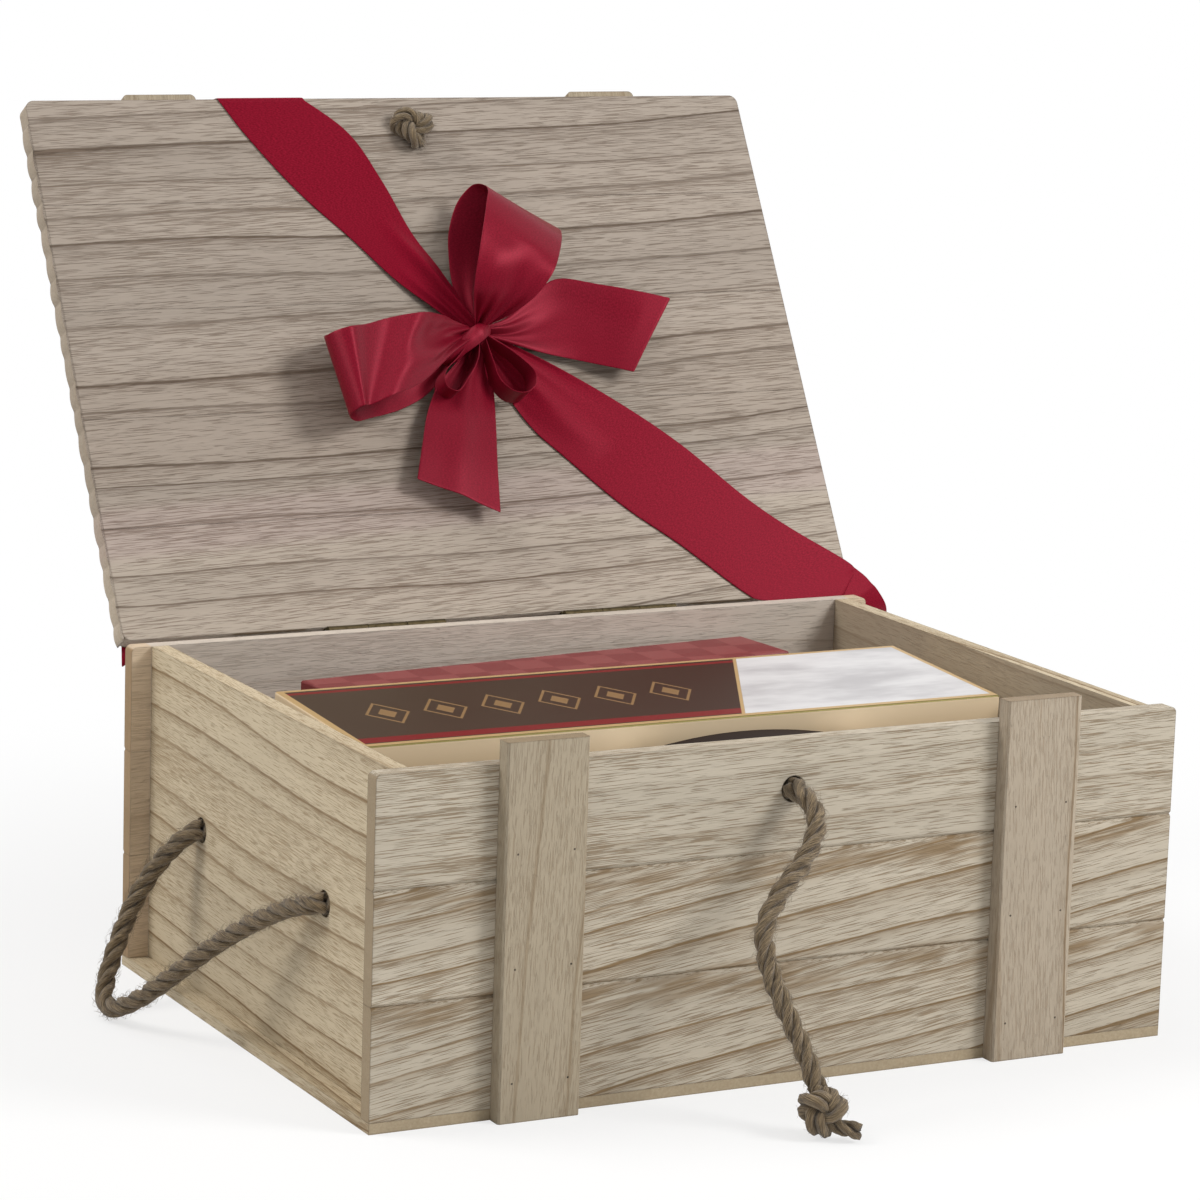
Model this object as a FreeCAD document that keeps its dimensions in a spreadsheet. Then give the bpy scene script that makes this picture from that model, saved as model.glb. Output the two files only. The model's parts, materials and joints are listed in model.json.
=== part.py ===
"""Gift hamper: a plank crate with its lid open, rope handles and closure, a ribbon bow and cartons.

Millimetres, +Z up. The origin is on the floor under the middle of the crate, +X runs along the front
to the right and +Y runs to the back. The lid stands open, leaning on the back battens.
"""
import FreeCAD, Part
import math
import os
import re

V = FreeCAD.Vector
X_AXIS, Y_AXIS, Z_AXIS = V(1, 0, 0), V(0, 1, 0), V(0, 0, 1)
SIDES = (("left", -1), ("right", 1))

# Driving sizes: name, value in millimetres, degrees or a count, what it is
SIZES = (
    ("box_length", 360, "length of the front and back panels"),
    ("box_depth", 256, "depth over the front and back panels"),
    ("wall_height", 140, "floor to the top edge of the walls"),
    ("panel_thk", 7.5, "thickness of the walls"),
    ("bottom_thk", 4.5, "thickness of the bottom board, which lies under the walls"),
    ("end_overhang", 9, "front, back and bottom run past the side panels by this"),
    ("wall_planks", 3, "planks in the front and in the back"),
    ("groove_bevel", 1.1, "bevel on each plank at a seam"),
    ("corner_round", 2.5, "rounded end corners at the top of front and back"),
    ("batten_width", 35, "width of every batten"),
    ("batten_thk", 7, "thickness of every batten"),
    ("batten_offset", 111.5, "battens left and right of the middle"),
    ("batten_bevel", 0.8, "eased long edges of the battens"),
    ("lid_setback", 4, "closed lid's front edge behind the front face"),
    ("lid_end_inset", 1, "lid shorter than the box at each end"),
    ("lid_thk", 9, "thickness of the lid planks"),
    ("lid_gap", 1, "gap between the closed lid and the walls"),
    ("lid_planks", 5, "planks in the lid"),
    ("lid_round", 4, "rounded corners of the lid"),
    ("lid_tab", 6.8, "lid battens run past the lid's front edge"),
    ("lid_open_angle", 120, "opening angle of the lid as it stands"),
    ("rest_clearance", 0.3, "clearance between the lid and what stops it"),
    ("hinge_offset", 57.5, "hinges left and right of the middle"),
    ("hinge_length", 56, "length of a hinge"),
    ("leaf_thk", 0.9, "thickness of a hinge leaf"),
    ("leaf_height", 16, "hinge axis to the lower edge of the fixed leaf"),
    ("knuckle_radius", 1.75, "outside radius of the knuckles"),
    ("knuckle_gap", 0.3, "gap between knuckles, and between a knuckle and the wood"),
    ("pin_radius", 0.9, "radius of the hinge pins"),
    ("pin_clearance", 0.05, "radial clearance of the pins"),
    ("axis_drop", 0.5, "hinge axis below the wall top"),
    ("screw_radius", 0.9, "radius of the hinge screws"),
    ("screw_length", 5.5, "screw length in the wood"),
    ("screw_head_radius", 1.9, "radius of the screw heads"),
    ("screw_head_height", 0.7, "height of the screw heads"),
    ("nail_radius", 0.7, "radius of the nails in the battens"),
    ("nail_head_radius", 1.3, "radius of the nail heads"),
    ("nail_head_height", 0.4, "nail heads stand proud by this"),
    ("nail_depth", 5, "nails reach this far into the planks"),
    ("nail_spread", 12, "the nails of a pair left and right of the batten's middle"),
    ("rope_radius", 4, "radius of the rope"),
    ("rope_clearance", 1.3, "radial room for the rope in its holes"),
    ("handle_half_span", 63, "handle holes in front of and behind the middle"),
    ("handle_height", 73.5, "height of the handle holes"),
    ("closure_height", 120, "height of the closure hole in the front"),
    ("stopper_radius", 8, "radius of the stopper knots inside"),
    ("end_knot_radius", 10, "radius of the knot at the closure rope's end"),
    ("lid_hole_shift", 4, "rope hole in the lid, right of the middle"),
    ("lid_hole_inset", 16.5, "rope hole in the lid, behind its front edge"),
    ("lid_knot_ring", 7.6, "middle radius of the knot on the lid"),
    ("lid_knot_tube", 4, "half height of the knot on the lid"),
    ("loop_rope_radius", 2.6, "radius of the thinner rope of the lid loop"),
    ("ribbon_thk", 0.5, "thickness of the ribbon"),
    ("ribbon_width", 38, "width of the ribbon"),
    ("ribbon_lift", 0.1, "room between the ribbon and what it lies on"),
    ("tie_radius", 8, "radius of the bow's middle"),
    ("top_carton_room", 15.5, "from each end of the long flat carton to the side panel"),
    ("top_carton_gap", 9.8, "between the long flat carton and the carton behind it"),
    ("top_carton_thk", 13, "thickness of the long flat carton"),
    ("top_carton_drop", 7.5, "middle of its top below the wall top"),
    ("top_carton_tilt", 3, "tilt of the carton, front edge down"),
    ("rear_carton_length", 228, "length of the carton that stands at the back"),
    ("rear_carton_thk", 38, "thickness of the carton that stands at the back"),
    ("rear_carton_drop", 12.5, "its top below the wall top"),
    ("rear_carton_turn", 6, "its turn about the vertical"),
    ("rear_carton_gap", 5.7, "between its nearest corner and the back panel"),
    ("front_carton_length", 124, "length of the carton that stands in front"),
    ("front_carton_thk", 36, "its thickness"),
    ("front_carton_drop", 15, "its crown below the wall top"),
    ("front_carton_crown", 9, "rise of its arched top"),
    ("front_carton_shift", 22, "its middle right of the box middle"),
    ("front_carton_gap", 4, "gap between it and the long carton"),
    ("front_carton_room", 35.4, "between it and the front panel"),
    ("carton_edge", 1, "rounded edges of the cartons"),
    ("card_thk", 2.5, "thickness of the folded card riser"),
    ("riser_inset", 8, "riser shorter than the long carton at each end"),
)

doc = FreeCAD.newDocument("gift_hamper")
sheet = doc.addObject("Spreadsheet::Sheet", "sizes")
for row, (alias, value, note) in enumerate(SIZES, 1):
    sheet.set(f"A{row}", note)
    sheet.set(f"B{row}", str(value))
    sheet.setAlias(f"B{row}", alias)
doc.recompute()

parts = {}
lid_parts = []


def size(alias):
    """A driving size, read from the sheet."""
    return float(sheet.get(alias))


def bind(obj, prop, formula):
    """Bind a property to a formula written with the sheet's names."""
    obj.setExpression(prop, re.sub(r"\b[a-z]\w+\b(?!\()", r"sizes.\g<0>", formula))


def keep(label, obj, on_lid=False):
    """Name a finished sub-part, and list it for the lid's pose where it is on the lid."""
    obj.Label = label
    parts[label] = obj
    if on_lid:
        lid_parts.append(obj)
    return obj


# Values that follow from the driving sizes
LENGTH, DEPTH, TOP = size("box_length"), size("box_depth"), size("wall_height")
FRONT, BACK = -DEPTH / 2, DEPTH / 2
SIDE_FACE = LENGTH / 2 - size("end_overhang")
SIDE_INNER = SIDE_FACE - size("panel_thk")
LID_DEPTH = DEPTH - size("lid_setback")
LID_HALF = LENGTH / 2 - size("lid_end_inset")
LID_UNDER = TOP + size("lid_gap")
LID_OVER = LID_UNDER + size("lid_thk")
HINGE_Y = BACK + size("knuckle_radius") + size("knuckle_gap")
HINGE_Z = TOP - size("axis_drop")
ROPE, HOLE = size("rope_radius"), size("rope_radius") + size("rope_clearance")
BATTEN_X = size("batten_offset")


def box(label, span, corner):
    """A box whose three sizes and lowest corner are bound to formulas."""
    solid = doc.addObject("Part::Box", label)
    for prop, formula in zip(("Length", "Width", "Height"), span):
        bind(solid, prop, formula)
    for axis, formula in zip("xyz", corner):
        bind(solid, f"Placement.Base.{axis}", formula)
    return solid


def cylinder(label, radius, height, base, axis):
    """A cylinder of a bound radius and height, from a base point along an axis."""
    solid = doc.addObject("Part::Cylinder", label)
    bind(solid, "Radius", radius)
    bind(solid, "Height", height)
    solid.Placement = FreeCAD.Placement(base, FreeCAD.Rotation(Z_AXIS, axis))
    return solid


def sphere(label, radius, centre):
    solid = doc.addObject("Part::Sphere", label)
    bind(solid, "Radius", radius)
    solid.Placement = FreeCAD.Placement(centre, FreeCAD.Rotation())
    return solid


def cut(label, base, tools):
    """Base less every tool."""
    for number, tool in enumerate(tools):
        result = doc.addObject("Part::Cut", f"{label}_cut{number}")
        result.Base, result.Tool = base, tool
        base = result
    return base


def fuse(label, shapes):
    result = doc.addObject("Part::MultiFuse", label + "_fused")
    result.Shapes = shapes
    result.Refine = True
    return result


def ease(kind, label, base, amount, wanted):
    """A fillet or chamfer on the edges whose middle point passes the test."""
    doc.recompute()
    result = doc.addObject(kind, label + "_eased")
    result.Base = base
    picks = [n for n, edge in enumerate(base.Shape.Edges, 1) if wanted(edge.CenterOfMass)]
    result.Edges = [(n, amount, amount) for n in picks]
    return result


def feature(label, shape):
    """A free-form sub-part."""
    solid = doc.addObject("Part::Feature", label + "_form")
    solid.Shape = shape
    return solid


def near(a, b):
    return abs(a - b) < 1e-4


# The bottom board and the side panels
keep("bottom_panel", box("bottom", ("box_length", "box_depth", "bottom_thk"),
                         ("-box_length / 2", "-box_depth / 2", "0")))

for side, sign in SIDES:
    corner_x = "box_length / 2 - end_overhang - panel_thk" if sign > 0 else "end_overhang - box_length / 2"
    board = box(f"{side}_board", ("panel_thk", "box_depth - 2 * panel_thk", "wall_height - bottom_thk"),
                (corner_x, "panel_thk - box_depth / 2", "bottom_thk"))
    holes = [cylinder(f"{side}_hole_{n}", "rope_radius + rope_clearance", "3 * panel_thk",
                      V(sign * (SIDE_FACE - 2 * size("panel_thk")), y, size("handle_height")), X_AXIS * sign)
             for n, y in enumerate((-size("handle_half_span"), size("handle_half_span")))]
    keep(f"{side}_side_panel", cut(f"{side}_side", board, holes))

# The planks of the front and the back, with a V groove at each seam on the outside
wall_count = int(size("wall_planks"))
plank_rise = (TOP - size("bottom_thk")) / wall_count
rise_formula = "(wall_height - bottom_thk) / floor(wall_planks)"
for wall, outer, corner_y in (("front", FRONT, "-box_depth / 2"),
                              ("back", BACK, "box_depth / 2 - panel_thk")):
    for n in range(wall_count):
        name = f"{wall}_plank_{n + 1}"
        plank = box(f"{name}_blank", ("box_length", "panel_thk", rise_formula),
                    ("-box_length / 2", corner_y, f"bottom_thk + {n} * {rise_formula}"))
        seams = [size("bottom_thk") + k * plank_rise for k in (n, n + 1) if 0 < k < wall_count]
        plank = ease("Part::Chamfer", name, plank, size("groove_bevel"),
                     lambda p: near(p.y, outer) and any(near(p.z, z) for z in seams))
        if n == wall_count - 1:
            plank = ease("Part::Fillet", f"{name}_corner", plank, size("corner_round"),
                         lambda p: near(p.z, TOP) and near(abs(p.x), LENGTH / 2))
            if wall == "front":
                hole = cylinder("closure_hole", "rope_radius + rope_clearance", "3 * panel_thk",
                                V(0, FRONT + 2 * size("panel_thk"), size("closure_height")), -Y_AXIS)
                plank = cut(name, plank, [hole])
        keep(name, plank)

# The battens of the front reach up beside the lid; those of the back stop the opened lid
turn = math.radians(size("lid_open_angle"))
axis_off = HINGE_Y - BACK
reach = size("batten_thk") - axis_off
back_batten_top = HINGE_Z + (reach * math.cos(turn) + axis_off - size("rest_clearance")) / math.sin(turn)
front_batten_rise = "wall_height + lid_gap + lid_thk - rest_clearance"
for side, sign in SIDES:
    corner_x = f"{sign} * batten_offset - batten_width / 2"
    for wall, face, corner_y in (("front", FRONT - size("batten_thk"), "-box_depth / 2 - batten_thk"),
                                 ("back", BACK + size("batten_thk"), "box_depth / 2")):
        name = f"{wall}_batten_{side}"
        batten = box(f"{name}_blank", ("batten_width", "batten_thk", front_batten_rise),
                     (corner_x, corner_y, "0"))
        if wall == "back":
            batten.setExpression("Height", None)
            batten.Height = back_batten_top
        batten = ease("Part::Chamfer", name, batten, size("batten_bevel"),
                      lambda p: near(p.y, face) and not near(p.z, 0)
                      and not near(abs(p.x), BATTEN_X))
        keep(name, batten)


def fastener(head_radius, head_height, radius, length, place, outward):
    """A head on the surface at a place, with its shank going in."""
    head = Part.makeCylinder(head_radius, head_height, place, outward)
    return head.fuse(Part.makeCylinder(radius, length, place, outward * -1)).removeSplitter()


def nail(place, outward):
    return fastener(size("nail_head_radius"), size("nail_head_height"), size("nail_radius"),
                    size("batten_thk") + size("nail_depth"), place, outward)


def screw(place, outward):
    return fastener(size("screw_head_radius"), size("screw_head_height"), size("screw_radius"),
                    size("screw_length") + size("leaf_thk"), place, outward)


nail_columns = [sign * BATTEN_X + n * size("nail_spread") for _, sign in SIDES for n in (-1, 1)]
nail_rows = [size("bottom_thk") + (n + 0.25) * plank_rise for n in range(wall_count)]
for wall, face, outward in (("front", FRONT - size("batten_thk"), -Y_AXIS),
                            ("back", BACK + size("batten_thk"), Y_AXIS)):
    nails = [nail(V(x, face, z), outward) for x in nail_columns for z in nail_rows]
    keep(f"{wall}_nails", feature(f"{wall}_nails", Part.makeCompound(nails)))

# The lid, drawn closed and opened by its pose: planks, battens and nails
lid_count = int(size("lid_planks"))
plank_run = LID_DEPTH / lid_count
run_formula = "(box_depth - lid_setback) / floor(lid_planks)"
lid_hole = V(size("lid_hole_shift"), BACK - LID_DEPTH + size("lid_hole_inset"), LID_UNDER)
for n in range(lid_count):
    name = f"lid_plank_{n + 1}"
    plank = box(f"{name}_blank", ("box_length - 2 * lid_end_inset", run_formula, "lid_thk"),
                ("lid_end_inset - box_length / 2", f"box_depth / 2 - {n + 1} * {run_formula}",
                 "wall_height + lid_gap"))
    seams = [BACK - k * plank_run for k in (n, n + 1) if 0 < k < lid_count]
    plank = ease("Part::Chamfer", name, plank, size("groove_bevel"),
                 lambda p: near(p.z, LID_OVER) and any(near(p.y, y) for y in seams))
    if n in (0, lid_count - 1):
        end = BACK if n == 0 else BACK - LID_DEPTH
        plank = ease("Part::Fillet", f"{name}_corner", plank, size("lid_round"),
                     lambda p: near(p.y, end) and near(abs(p.x), LID_HALF))
    if n == lid_count - 1:
        hole = cylinder("lid_hole", "rope_radius + rope_clearance", "3 * lid_thk",
                        lid_hole - Z_AXIS * size("lid_thk"), Z_AXIS)
        plank = cut(name, plank, [hole])
    keep(name, plank, on_lid=True)

for side, sign in SIDES:
    name = f"lid_batten_{side}"
    batten = box(f"{name}_blank", ("batten_width", "box_depth - lid_setback + lid_tab", "batten_thk"),
                 (f"{sign} * batten_offset - batten_width / 2", "lid_setback - lid_tab - box_depth / 2",
                  "wall_height + lid_gap + lid_thk"))
    tab_end = BACK - LID_DEPTH - size("lid_tab")
    batten = ease("Part::Fillet", f"{name}_tab", batten, size("corner_round"),
                  lambda p: near(p.y, tab_end) and not near(abs(p.x), BATTEN_X))
    keep(name, batten, on_lid=True)

nails = [nail(V(x, BACK - (n + 0.5) * plank_run, LID_OVER + size("batten_thk")), Z_AXIS)
         for x in nail_columns for n in range(lid_count)]
keep("lid_nails", feature("lid_nails", Part.makeCompound(nails)), on_lid=True)

# Two hinges: a leaf on the back, a leaf on the lid's edge, and a pin through their knuckles
segment = (size("hinge_length") - 2 * size("knuckle_gap")) / 3
segment_formula = "(hinge_length - 2 * knuckle_gap) / 3"
knuckle_room = size("knuckle_radius") + size("knuckle_gap")
screw_row_back = HINGE_Z - (size("leaf_height") + knuckle_room) / 2
screw_row_lid = (LID_UNDER + size("knuckle_gap") + LID_OVER) / 2
screws = {"back": [], "lid": []}
for side, sign in SIDES:
    start = sign * size("hinge_offset") - size("hinge_length") / 2
    start_formula = f"{sign} * hinge_offset - hinge_length / 2"
    starts = [start + k * (segment + size("knuckle_gap")) for k in range(3)]
    start_formulas = [f"{start_formula} + {k} * ({segment_formula} + knuckle_gap)" for k in range(3)]
    screw_columns = [start + (k + 0.5) * size("hinge_length") / 3 for k in range(3)]
    bore = cylinder(f"{side}_bore", "pin_radius + pin_clearance", "2 * hinge_length",
                    V(start - size("hinge_length") / 2, HINGE_Y, HINGE_Z), X_AXIS)

    def leaf(label, segments, plate_low, plate_high, web_low, web_high, web_y, screw_row):
        """A plate with its knuckles, each joined by a web, bored for the pin and drilled for the screws."""
        solids = [box(f"{label}_plate", ("hinge_length", "leaf_thk", f"{plate_high} - ({plate_low})"),
                      (start_formula, "box_depth / 2", plate_low))]
        for k in segments:
            solids.append(box(f"{label}_web_{k}", (segment_formula, "leaf_thk", f"{web_high} - ({web_low})"),
                              (start_formulas[k], web_y, web_low)))
            solids.append(cylinder(f"{label}_knuckle_{k}", "knuckle_radius", segment_formula,
                                   V(starts[k], HINGE_Y, HINGE_Z), X_AXIS))
        holes = [cylinder(f"{label}_screw_hole_{k}", "screw_radius + pin_clearance", "2 * leaf_thk",
                          V(x, BACK - size("leaf_thk") / 2, screw_row), Y_AXIS)
                 for k, x in enumerate(screw_columns)]
        return cut(label, fuse(label, solids), [bore] + holes)

    axis_formula = "(wall_height - axis_drop)"
    below = f"{axis_formula} - knuckle_radius - knuckle_gap"
    above = f"{axis_formula} + knuckle_radius + knuckle_gap"
    fixed = leaf(f"hinge_{side}_fixed", (0, 2), f"{axis_formula} - leaf_height", below, below, axis_formula,
                 "box_depth / 2", screw_row_back)
    keep(f"hinge_{side}_fixed_leaf", fixed)
    moving = leaf(f"hinge_{side}_moving", (1,), above, "wall_height + lid_gap + lid_thk - knuckle_gap",
                  axis_formula, above, "box_depth / 2 + knuckle_gap", screw_row_lid)
    keep(f"hinge_{side}_moving_leaf", moving, on_lid=True)
    pin = cylinder(f"hinge_{side}_pin_rod", "pin_radius", "hinge_length + 2 * knuckle_gap",
                   V(start - size("knuckle_gap"), HINGE_Y, HINGE_Z), X_AXIS)
    keep(f"hinge_{side}_pin", pin)
    leaf_face = BACK + size("leaf_thk")
    screws["back"] += [screw(V(x, leaf_face, screw_row_back), Y_AXIS) for x in screw_columns]
    screws["lid"] += [screw(V(x, leaf_face, screw_row_lid), Y_AXIS) for x in screw_columns]

keep("hinge_screws_back", feature("hinge_screws_back", Part.makeCompound(screws["back"])))
keep("hinge_screws_lid", feature("hinge_screws_lid", Part.makeCompound(screws["lid"])), on_lid=True)

# Ropes: straight runs joined by tangent arcs
ARC_SHARE = 0.45


def rope_solid(label, points, radius):
    """A round tube along a route, as large in its turns as its runs allow."""
    edges, radii, start = [], [], points[0]
    for before, corner, after in zip(points, points[1:], points[2:]):
        into, out = (before - corner).normalize(), (after - corner).normalize()
        half = (math.pi - into.getAngle(out)) / 2
        tangent = ARC_SHARE * min(before.distanceToPoint(corner), corner.distanceToPoint(after))
        bend = tangent / math.tan(half)
        middle = corner + (into + out).normalize() * (bend / math.cos(half) - bend)
        edges.append(Part.LineSegment(start, corner + into * tangent).toShape())
        edges.append(Part.Arc(corner + into * tangent, middle, corner + out * tangent).toShape())
        start = corner + out * tangent
        radii.append(round(bend, 1))
    edges.append(Part.LineSegment(start, points[-1]).toShape())
    path = Part.Wire(edges)
    section = Part.Wire(Part.makeCircle(radius, points[0], points[1] - points[0]))
    tube = path.makePipeShell([section], True, False)
    share = tube.Volume / (math.pi * radius ** 2 * path.Length)
    print(f"{label}: length {path.Length:.1f}, radii {radii}, volume over section times length {share:.4f}")
    return tube


# The closure rope: out of the front, down and forward to its end knot on the floor
CLOSURE_ROUTE = (
    # right of the middle, in front of the front face, height
    (0, 0, 120), (0, 10, 120), (0.5, 20.5, 111.5), (-9, 27.5, 99), (-23, 32.5, 88.5), (-33, 37, 76.5),
    (-33.5, 42.5, 62.5), (-28.5, 49.5, 46), (-23, 57, 30), (-21, 63, 18.2),
)
closure_points = [V(x, FRONT - out, z) for x, out, z in CLOSURE_ROUTE]
keep("closure_rope", feature("closure_rope", rope_solid("closure_rope", closure_points, ROPE)))
end_run = (closure_points[-1] - closure_points[-2]).normalize()
KNOT_AHEAD = 4
end_middle = V(closure_points[-1].x, closure_points[-1].y - KNOT_AHEAD, size("end_knot_radius"))
end_ball = sphere("end_ball", "end_knot_radius", end_middle)
knot_collar = cylinder("knot_collar", "rope_radius", "end_knot_radius", closure_points[-1], end_run)
keep("closure_knot", fuse("closure_knot", [end_ball, knot_collar]))


def stopper(label, inner_face, inward, through):
    """A knot seated in a hole's inner rim, with the rope that goes through the hole to the outside."""
    seat = math.sqrt(size("stopper_radius") ** 2 - HOLE ** 2) + size("rest_clearance")
    ball = sphere(f"{label}_ball", "stopper_radius", inner_face + inward * seat)
    ball.Placement.Rotation = FreeCAD.Rotation(X_AXIS, inward)
    stub = cylinder(f"{label}_stub", "rope_radius", f"{through} + stopper_radius",
                    inner_face - inward * size(through), inward)
    return fuse(label, [ball, stub])


closure_inner = V(0, FRONT + size("panel_thk"), size("closure_height"))
keep("closure_stopper", stopper("closure_stopper", closure_inner, Y_AXIS, "panel_thk"))

# The handles swing about the line of their two holes, on a round end at each hole
ball_out = ROPE + size("rest_clearance")
span, height = size("handle_half_span"), size("handle_height")
HANDLE_ROUTES = {
    # out from the side panel, behind the middle, height: the left handle lies with its fold on the floor
    "left": ((ball_out, -span, height), (8, -46, 68.5), (14, -26, 58), (21, -6, 45), (29.5, 10, 31),
             (37.5, 27, 16.5), (43.5, 43, 6.8), (45, 55, 4.6), (41.5, 64.5, 11), (34, 72, 24),
             (24, 77.5, 42), (14, 75, 58.5), (ball_out, span, height)),
    # the right handle hangs down its side panel, with its middle on the ledge of the bottom board
    "right": ((ball_out, -span, height), (ball_out + 0.2, -65, 51), (ball_out, -61, 27),
              (ball_out, -44, 11.5), (ball_out, -15, 8.9), (ball_out, 16, 9.1), (ball_out, 45, 12),
              (ball_out, 62, 28), (ball_out + 0.2, 65, 51),
              (ball_out, span, height)),
}
for side, sign in SIDES:
    points = [V(sign * (SIDE_FACE + out), y, z) for out, y, z in HANDLE_ROUTES[side]]
    rope = feature(f"{side}_handle_rope", rope_solid(f"{side}_handle", points, ROPE))
    ends = [sphere(f"{side}_handle_end_{n}", "rope_radius", point)
            for n, point in enumerate((points[0], points[-1]))]
    keep(f"{side}_handle", fuse(f"{side}_handle", [rope] + ends))
    knots = []
    for n, y in enumerate((-span, span)):
        inner_face = V(sign * SIDE_INNER, y, height)
        knots.append(stopper(f"{side}_stopper_{n}", inner_face, X_AXIS * -sign, "panel_thk"))
    pair = doc.addObject("Part::Compound", f"{side}_stoppers")
    pair.Links = knots
    keep(f"{side}_handle_stoppers", pair)

# The lid's rope: a ring-shaped knot on the inside, and a loop on the outside for the closure knot
ring = doc.addObject("Part::Torus", "lid_knot_ring")
bind(ring, "Radius1", "lid_knot_ring")
bind(ring, "Radius2", "lid_knot_tube")
ring.Placement = FreeCAD.Placement(lid_hole - Z_AXIS * size("lid_knot_tube"), FreeCAD.Rotation())
core = cylinder("lid_knot_core", "rope_radius + pin_clearance", "lid_thk + lid_knot_tube",
                lid_hole - Z_AXIS * size("lid_knot_tube"), Z_AXIS)
keep("lid_knot", fuse("lid_knot", [ring, core]), on_lid=True)

LOOP_ROUTE = (
    # right of the hole, behind it, above the lid's outside
    (-3, 0, 0), (-3, 0, 5), (-3.6, 3.5, 9), (-6, 12, 8), (-8.5, 23, 4.5), (-7, 34, 3.2), (0, 41, 3.1),
    (7, 34, 3.2), (8.5, 23, 4.5), (6, 12, 8), (3.6, 3.5, 9), (3, 0, 5), (3, 0, 0),
)
loop_points = [V(lid_hole.x + x, lid_hole.y + y, LID_OVER + z) for x, y, z in LOOP_ROUTE]
loop = rope_solid("lid_rope_loop", loop_points, size("loop_rope_radius"))
keep("lid_rope_loop", feature("lid_rope_loop", loop), on_lid=True)

# Ribbon: strips through pairs of edge points, right of the middle, from the hinge edge, in from the lid
THK, LIFT, WIDTH = size("ribbon_thk"), size("ribbon_lift"), size("ribbon_width")


def on_lid(x, r, n):
    """A point of the closed lid: right of the middle, from its hinge edge, below its inner face."""
    return V(x, BACK - r, LID_UNDER - n)


def strip(pairs, thickness=THK):
    """A ribbon through pairs of edge points, thickened along its own normal."""
    lows = [on_lid(*low) for low, _ in pairs]
    highs = [on_lid(*high) for _, high in pairs]
    middles = [(low + high) / 2 for low, high in zip(lows, highs)]
    sections = []
    for k, (low, high) in enumerate(zip(lows, highs)):
        along = middles[min(k + 1, len(middles) - 1)] - middles[max(k - 1, 0)]
        out = along.cross(high - low).normalize() * (thickness / 2)
        sections.append(Part.makePolygon([low - out, high - out, high + out, low + out, low - out]))
    return Part.makeLoft(sections, True, True)


flat = LIFT + THK / 2
outside = -size("lid_thk") - flat
over_batten = outside - size("batten_thk") - size("nail_head_height")
edge = LID_DEPTH
gap_past = LIFT + THK / 2
BAND_LOW, BAND_START = -4, LID_HALF - 32

# The band across the inside, from the front edge through the bow to the hinge corner
keep("ribbon_front_band", feature("ribbon_front_band", strip((
    ((-88, edge, flat), (-47, edge, flat)),
    ((-16, 152.5, flat), (6.5, 176, flat)),
    ((7, 132, flat), (22, 142, flat)),
    ((60, 57, flat), (94, 89, flat)),
    ((124, 3, flat), (LID_HALF - 2, 23, flat)),
))), on_lid=True)

# The band's end folds over the front edge and is glued to the outside
keep("ribbon_top_fold", feature("ribbon_top_fold", strip((
    ((-88.5, edge + gap_past, flat - THK), (-47.5, edge + gap_past, flat - THK)),
    ((-91, edge + gap_past, outside), (-50, edge + gap_past, outside)),
    ((-90, edge - 18, outside), (-52, edge - 16, outside)),
    ((-89, edge - 40, outside), (-52, edge - 36, outside)),
))), on_lid=True)

# The other end goes loosely round the hinge corner to the outside
past = LID_HALF + 5
below_edge = -6.5
keep("ribbon_corner_fold", feature("ribbon_corner_fold", strip((
    ((131, -1, flat), (past, 18, flat)),
    ((140, below_edge, flat), (past + 6, 14, flat)),
    ((past - 10, below_edge - 0.5, flat), (past + 13, 6, flat)),
    ((past - 4, below_edge - 2.5, flat - 3.5), (past + 18, 3, flat - 3.5)),
    ((past - 4, below_edge - 2.5, over_batten + 6), (past + 18, 3, over_batten + 7)),
    ((past - 11, below_edge, over_batten - 0.5), (past + 8, 10, over_batten + 2)),
    ((BAND_START + 1, BAND_LOW, over_batten), (BAND_START + 1, BAND_LOW + WIDTH, over_batten)),
))), on_lid=True)

# A band runs along the hinge edge on the outside, over both battens
batten_out = BATTEN_X + size("batten_width") / 2 + 3
keep("ribbon_back_band", feature("ribbon_back_band", strip(tuple(
    ((x, BAND_LOW, n), (x, BAND_LOW + WIDTH, n)) for x, n in (
        (BAND_START, over_batten), (batten_out, over_batten), (-batten_out, over_batten),
        (-batten_out - 22, outside - 2), (-LID_HALF + 5, outside)))
)), on_lid=True)

# The bow: two loops and two tails from a tie in the middle
BOW = (13.5, 132.5)
TIE_LEVEL = flat + THK + size("tie_radius")
keep("bow_tie", sphere("tie_ball", "tie_radius", on_lid(BOW[0], BOW[1], TIE_LEVEL)), on_lid=True)


def ray(angle, stations):
    """Edge pairs of a ribbon that leaves the bow's middle, by distance, level, width and twist."""
    c, s = math.cos(math.radians(angle)), math.sin(math.radians(angle))
    pairs = []
    for distance, level, width, twist in stations:
        x, r = BOW[0] + distance * c, BOW[1] + distance * s
        half = width / 2
        pairs.append(((x + half * s, r - half * c, level - twist),
                      (x - half * s, r + half * c, level + twist)))
    return tuple(pairs)


def beside_tie(level):
    """Distance from the bow's middle at which a ribbon at this level lies against the tie."""
    return math.sqrt((size("tie_radius") + size("rest_clearance")) ** 2 - (TIE_LEVEL - level) ** 2)


def loop_stations(reach):
    """A loop of the bow: out near the lid, round, and back to the tie above."""
    shares = ((0.27, 7.2, 26), (0.52, 8, 36), (0.78, 9, WIDTH), (0.93, 13, WIDTH), (1, 20, WIDTH),
              (0.93, 27.5, WIDTH), (0.75, 31.5, WIDTH), (0.5, 29, 36), (0.27, 21, 26))
    stations = [(share * reach, level, width, 0) for share, level, width in shares]
    return [(beside_tie(6.6), 6.6, 9, 0), *stations, (beside_tie(12), 12, 9, 0)]


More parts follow.
